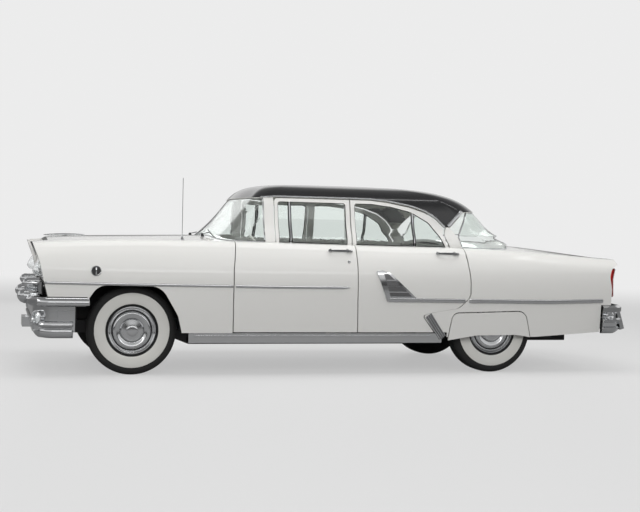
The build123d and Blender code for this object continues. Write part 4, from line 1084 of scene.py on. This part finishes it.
def lining_of(node, wanted, thickness, name, finish, body):
    """A sheet on those faces of a panel for which wanted(centre, normal) holds."""
    piece = copy_of(nodes[node])
    open_mesh(piece)
    bpy.ops.mesh.remove_doubles(threshold=SAME_POINT)
    bpy.ops.mesh.select_all(action="DESELECT")
    bpy.ops.mesh.select_mode(type="FACE")
    piece_mesh = bmesh.from_edit_mesh(piece.data)
    for face in piece_mesh.faces:
        face.select_set(not wanted(face.calc_center_median(), face.normal))
    bmesh.update_edit_mesh(piece.data)
    bpy.ops.mesh.delete(type="FACE")
    close_mesh()
    piece.data.materials.clear()
    apply_modifier(piece, "SOLIDIFY", thickness=thickness, offset=1.0)
    return settle(piece, name, body, "seat_fabric", finish)


def is_door_inside(centre, normal):
    """The inner face of a left door, up to a little below the glass."""
    return normal.y > 0.6 and centre.y > -0.92 and centre.z < 0.97


def is_ceiling(centre, normal):
    """The underside of the roof."""
    return normal.z < -0.25


def is_cabin_floor(centre, normal):
    """The top of the floor pan, up to the rear bench."""
    return normal.z > 0.5 and centre.x < 0.65


for door in ("front_door_left", "rear_door_left"):
    card_name = door.replace("door", "card")
    other_side(lining_of(door, is_door_inside, LINING_THICKNESS, card_name, card_finish, door))
lining_of("roof_panel", is_ceiling, LINING_THICKNESS, "headliner", headliner_finish, "body")
lining_of("floor_pan", is_cabin_floor, CARPET_THICKNESS, "carpet", carpet_finish, "body")
print("cards, headliner and carpet")

# %% [markdown]
# ## Padded bench seats
# A bench of the time is a coil-spring cushion and a back, padded with cotton and covered with cloth that
# is sewn in pleats. Each pad starts as a rounded block a little smaller than the real one, voxels give
# it an even mesh, and the cloth is blown up a little by pressure while the side away from the sitter
# is held. The swelling is capped, and the pleats are pressed in afterwards along sewn lines. The
# benches stand on plain bases.

# %% Pads
VOXEL = 0.012
CLOTH_PRESSURE = 4
CLOTH_FRAMES = 20
SWELL_CAP = 0.022
PAD_ROUNDING = 0.030
PLEAT_PITCH = 0.075
PLEAT_DEPTH = 0.0055
PLEATED_HALF = 0.52
PLEAT_FADE = 0.03


def swell(piece, held):
    """Voxel remesh, a cloth simulation with pressure, capped moves and one subdivision."""
    apply_modifier(piece, "REMESH", mode="VOXEL", voxel_size=VOXEL)
    before = [v.co.copy() for v in piece.data.vertices]
    fixed = piece.vertex_groups.new(name="held")
    fixed.add([v.index for v in piece.data.vertices if held(v.co)], 1.0, "REPLACE")
    cloth = piece.modifiers.new("cloth", "CLOTH")
    cloth.settings.use_pressure = True
    cloth.settings.uniform_pressure_force = CLOTH_PRESSURE
    cloth.settings.effector_weights.gravity = 0
    cloth.settings.vertex_group_mass = "held"
    for frame_number in range(1, CLOTH_FRAMES + 1):
        scene.frame_set(frame_number)
    pick(piece)
    bpy.ops.object.modifier_apply(modifier=cloth.name)
    scene.frame_set(1)
    for vertex, start in zip(piece.data.vertices, before):
        move = vertex.co - start
        if move.length > 0.0001:
            vertex.co = start + move.normalized() * SWELL_CAP * math.tanh(move.length / SWELL_CAP)
    piece.vertex_groups.clear()
    apply_modifier(piece, "SUBSURF", levels=1, render_levels=1)


def pad(low, high, axis, sign):
    """One pad from its block; pleats run along it on the side that faces along the signed axis."""
    piece = block(low, high, PAD_ROUNDING, 4)
    middle = (low[axis] + high[axis]) / 2
    held_from = 0.2 * (low[axis] - middle) * sign
    swell(piece, lambda co: (co[axis] - middle) * sign < held_from)
    for vertex in piece.data.vertices:
        from_end = PLEATED_HALF - abs(vertex.co.y)
        if from_end > 0 and (vertex.co[axis] - middle) * sign > 0.01:
            wave = abs(math.sin(math.pi * vertex.co.y / PLEAT_PITCH)) ** 0.5
            vertex.co[axis] -= sign * PLEAT_DEPTH * (1 - wave) * min(1.0, from_end / PLEAT_FADE)
    return piece


def bench(name, cushion_box, back_box, lean, solid):
    """Cushion and leaning back of one bench, in place of its plain solid."""
    cushion = settle(pad(*cushion_box, 2, 1), f"{name}_cushion", "body", "seat_fabric", smooth=60)
    back = pad(*back_box, 0, -1)
    foot = [(a + b) / 2 for a, b in zip(*back_box)]
    foot[2] = back_box[0][2]
    open_mesh(back)
    bpy.ops.transform.rotate(value=-math.radians(lean), orient_axis="Y", center_override=foot)
    close_mesh()
    settle(back, f"{name}_back", "body", "seat_fabric", smooth=60)
    for piece in (cushion, back):
        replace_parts(piece, solid)
    return back


print("pleats every", PLEAT_PITCH, "m")

# %% Benches and their bases
FRONT_CUSHION = [(-0.548, -0.606, 0.452), (-0.075, 0.606, 0.572)]
FRONT_BACK = [(-0.035, -0.606, 0.480), (0.050, 0.606, 0.960)]
FRONT_LEAN = 6.5
REAR_CUSHION = [(0.345, -0.566, 0.452), (0.835, 0.566, 0.575)]
REAR_BACK = [(0.872, -0.566, 0.600), (0.955, 0.566, 0.985)]
REAR_LEAN = 6.0
BASE_BOXES = [((-0.545, -0.600, 0.392), (-0.080, 0.600, 0.450)),
              ((0.345, -0.560, 0.392), (0.640, 0.560, 0.450))]
FOOT_LENGTHS = [(-0.480, -0.100), (0.360, 0.600)]
FOOT_WIDTHS = [(-0.560, -0.200), (0.200, 0.560)]
FOOT_HEIGHTS = (0.312, 0.394)
base_finish = plain("seat_base", (0.16, 0.155, 0.15), 0.7, scale=120, depth=0.0003)

front_back = bench("front_bench", FRONT_CUSHION, FRONT_BACK, FRONT_LEAN, "front_seat")
bench("rear_bench", REAR_CUSHION, REAR_BACK, REAR_LEAN, "rear_seat")
bases = [block(low, high, 0.010) for low, high in BASE_BOXES]
for x_from, x_to in FOOT_LENGTHS:
    for y_from, y_to in FOOT_WIDTHS:
        bases.append(block((x_from, y_from, FOOT_HEIGHTS[0]), (x_to, y_to, FOOT_HEIGHTS[1])))
settle(joined(bases), "seat_bases", "body", "seat_fabric", base_finish, smooth=40)
print("the front bench's back tops out at", round(max(v.co.z for v in front_back.data.vertices), 3))

# %% [markdown]
# ## Steering wheel and instruments
# The wheel has a thin hard rim, two spokes, and a half ring of chrome that sounds the horn. A torus
# makes the rim and half of another torus the ring. Place and slant of the wheel are those of its
# joint. The instruments are three round dials with bright rims, above a row of knobs.

# %% Steering wheel
WHEEL_PLACE = Vector(joint_of["steering_wheel"]["pos_m"])
WHEEL_AHEAD = Vector(joint_of["steering_wheel"]["axis"])
RIM_RADIUS = 0.215
RIM_TUBE = 0.0105
SPOKE_BOX = [(-0.205, -0.013, -0.016), (-0.020, 0.013, -0.004)]
HUB_ROWS = [(-0.034, 0.030), (-0.030, 0.034), (-0.006, 0.036), (0.004, 0.030), (0.006, 0.0)]
HORN_RADIUS = 0.125
HORN_TUBE = 0.0045
HORN_BAR_RADIUS = 0.0040
HORN_HEIGHT = 0.006
HORN_CAP_ROWS = [(0.004, 0.026), (0.012, 0.025), (0.016, 0.018), (0.017, 0.0)]


def torus(ring, tube, height=0.0, half=False):
    """A ring round Z, or only the half of it with negative X, with its ends capped."""
    pick(None)
    bpy.ops.mesh.primitive_torus_add(location=(0, 0, height), major_radius=ring, minor_radius=tube,
                                     major_segments=72, minor_segments=14)
    apply_place()
    piece = bpy.context.object
    if half:
        open_mesh(piece)
        bpy.ops.mesh.bisect(plane_co=(0.0001, 0, 0), plane_no=(1, 0, 0), clear_outer=True, use_fill=True)
        close_mesh()
    return piece


wheel_pieces = [torus(RIM_RADIUS, RIM_TUBE)]
for turn_angle in (90, -90):
    spoke = block(*SPOKE_BOX, 0.004)
    open_mesh(spoke)
    bpy.ops.transform.rotate(value=math.radians(turn_angle), orient_axis="Z", center_override=(0, 0, 0))
    close_mesh()
    wheel_pieces.append(spoke)
wheel_pieces.append(turned(HUB_ROWS, 40))
rim = lay(joined(wheel_pieces), WHEEL_PLACE, WHEEL_AHEAD)
settle(rim, "rim_and_spokes", "steering_wheel", "wheel_plastic")
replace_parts(rim, "steering_wheel")

horn_ends = [Vector((0, side * (HORN_RADIUS - 0.001), HORN_HEIGHT)) for side in (-1, 1)]
horn_ring = torus(HORN_RADIUS, HORN_TUBE, HORN_HEIGHT, half=True)
horn_pieces = [horn_ring, turned(HORN_CAP_ROWS, 40), rod(horn_ends, HORN_BAR_RADIUS)]
horn = lay(joined(horn_pieces), WHEEL_PLACE, WHEEL_AHEAD)
settle(horn, "horn_ring", "steering_wheel", "chrome")
print("steering wheel at", tuple(round(c, 3) for c in WHEEL_PLACE))

# %% Dials and knobs
BACKWARDS = (1, 0, 0)
DIAL_HEIGHT = 0.925
DIALS = [(-0.500, 0.044), (-0.370, 0.058), (-0.240, 0.044)]
KNOB_HEIGHT = 0.880
KNOB_PLACES = (-0.12, -0.04, 0.04, 0.12, 0.20)
KNOB_ROWS = [(-0.006, 0.006), (0.010, 0.006), (0.012, 0.013), (0.024, 0.012), (0.026, 0.0)]


def on_dash(y, z):
    """The point of the dashboard that a ray from the seats meets first."""
    return meets("dashboard", (-0.3, y, z), FORWARD)


rims = []
faces = []
for dial_y, radius in DIALS:
    dial_place = on_dash(dial_y, DIAL_HEIGHT)
    rim_rows = [(-0.004, radius), (0.006, radius), (0.009, radius - 0.004), (0.003, radius - 0.006),
                (-0.004, radius)]
    face_rows = [(-0.004, radius - 0.004), (0.002, radius - 0.004), (0.0025, 0.0)]
    rims.append(lay(turned(rim_rows, 48), dial_place, BACKWARDS))
    faces.append(lay(turned(face_rows, 48), dial_place, BACKWARDS))
for knob_y in KNOB_PLACES:
    rims.append(lay(turned(KNOB_ROWS, 24), on_dash(knob_y, KNOB_HEIGHT), BACKWARDS))
settle(joined(rims), "dial_rims", "body", "chrome")
settle(joined(faces), "dial_faces", "body", "dash_paint", dark_lining)
print(len(DIALS), "dials and", len(KNOB_PLACES), "knobs")

# %% [markdown]
# ## Handles inside, trunk handle and tail pipe
# Every door has an armrest, a pull lever and a window crank, and the trunk a lift handle. They stand on
# the real surfaces, whose places are found with rays. The tail pipe runs from the silencer under the
# axle and past the tank to the bumper.

# %% Fittings inside the doors
INWARDS = (0, 1, 0)
REST_HALF = 0.14
REST_HEIGHTS = (0.680, 0.730)
REST_DEPTHS = (-0.004, 0.062)
LEVER_RADIUS = 0.0055
CRANK_HEIGHT = 0.700
CRANK_TIP = (0.055, -0.070)
LEVER_HEIGHT = 0.840
LEVER_TIP = (-0.085, 0.006)
LEVER_KNOB_ROWS = [(-0.003, 0.020), (0.010, 0.019), (0.024, 0.010), (0.026, 0.0)]
CRANK_GRIP_ROWS = [(0.0, 0.006), (0.004, 0.010), (0.026, 0.009), (0.030, 0.0)]


def inside_of(node, x, z):
    """The point of a left door's inner face."""
    return meets(node, (x, -0.5, z), OUTWARDS)


for door, rest_x, crank_x in [("front", -0.420, -0.760), ("rear", 0.430, 0.250)]:
    node = f"{door}_door_left"
    skin_y = inside_of(node, rest_x, CRANK_HEIGHT).y
    rest_low = (rest_x - REST_HALF, skin_y + REST_DEPTHS[0], REST_HEIGHTS[0])
    rest_high = (rest_x + REST_HALF, skin_y + REST_DEPTHS[1], REST_HEIGHTS[1])
    rest = block(rest_low, rest_high, 0.018, 3)
    other_side(settle(rest, f"{door}_armrest_left", node, "seat_fabric", card_finish))
    fittings = []
    for x, z, tip in [(crank_x, CRANK_HEIGHT, CRANK_TIP), (rest_x, LEVER_HEIGHT, LEVER_TIP)]:
        spot = inside_of(node, x, z)
        start = spot + Vector((0, 0.020, 0))
        fittings.append(lay(turned(LEVER_KNOB_ROWS, 28), spot, INWARDS))
        fittings.append(rod([start, start + Vector((tip[0], 0.010, tip[1]))], LEVER_RADIUS))
    grip_place = inside_of(node, crank_x, CRANK_HEIGHT) + Vector((CRANK_TIP[0], 0.026, CRANK_TIP[1]))
    fittings.append(lay(turned(CRANK_GRIP_ROWS, 24), grip_place, INWARDS))
    other_side(settle(joined(fittings), f"{door}_levers_left", node, "chrome"))
print("armrests, levers and cranks on four doors")

# %% Trunk handle and tail pipe
LIFT_HEIGHT = 0.700
PIPE_RADIUS = 0.022
PIPE_LINE = [(0.990, 0.230, 0.206), (1.150, 0.236, 0.206), (1.300, 0.262, 0.210), (1.500, 0.320, 0.218),
             (1.700, 0.385, 0.232), (1.850, 0.415, 0.246), (2.050, 0.425, 0.262), (2.400, 0.430, 0.285)]

lid_x = meets("trunk_lid", (3.0, 0.0, LIFT_HEIGHT), FORWARD).x
lift_box = [(lid_x - 0.004, -0.090, LIFT_HEIGHT - 0.012), (lid_x + 0.022, 0.090, LIFT_HEIGHT + 0.012)]
settle(block(*lift_box, 0.008, 3), "trunk_handle", "trunk", "chrome")
pipe = rod([Vector(spot) for spot in PIPE_LINE], PIPE_RADIUS, 4)
settle(pipe, "tail_pipe", "body", "dark_steel", smooth=60)
print("trunk handle at x", round(lid_x, 3), "and a tail pipe of", len(PIPE_LINE), "points")
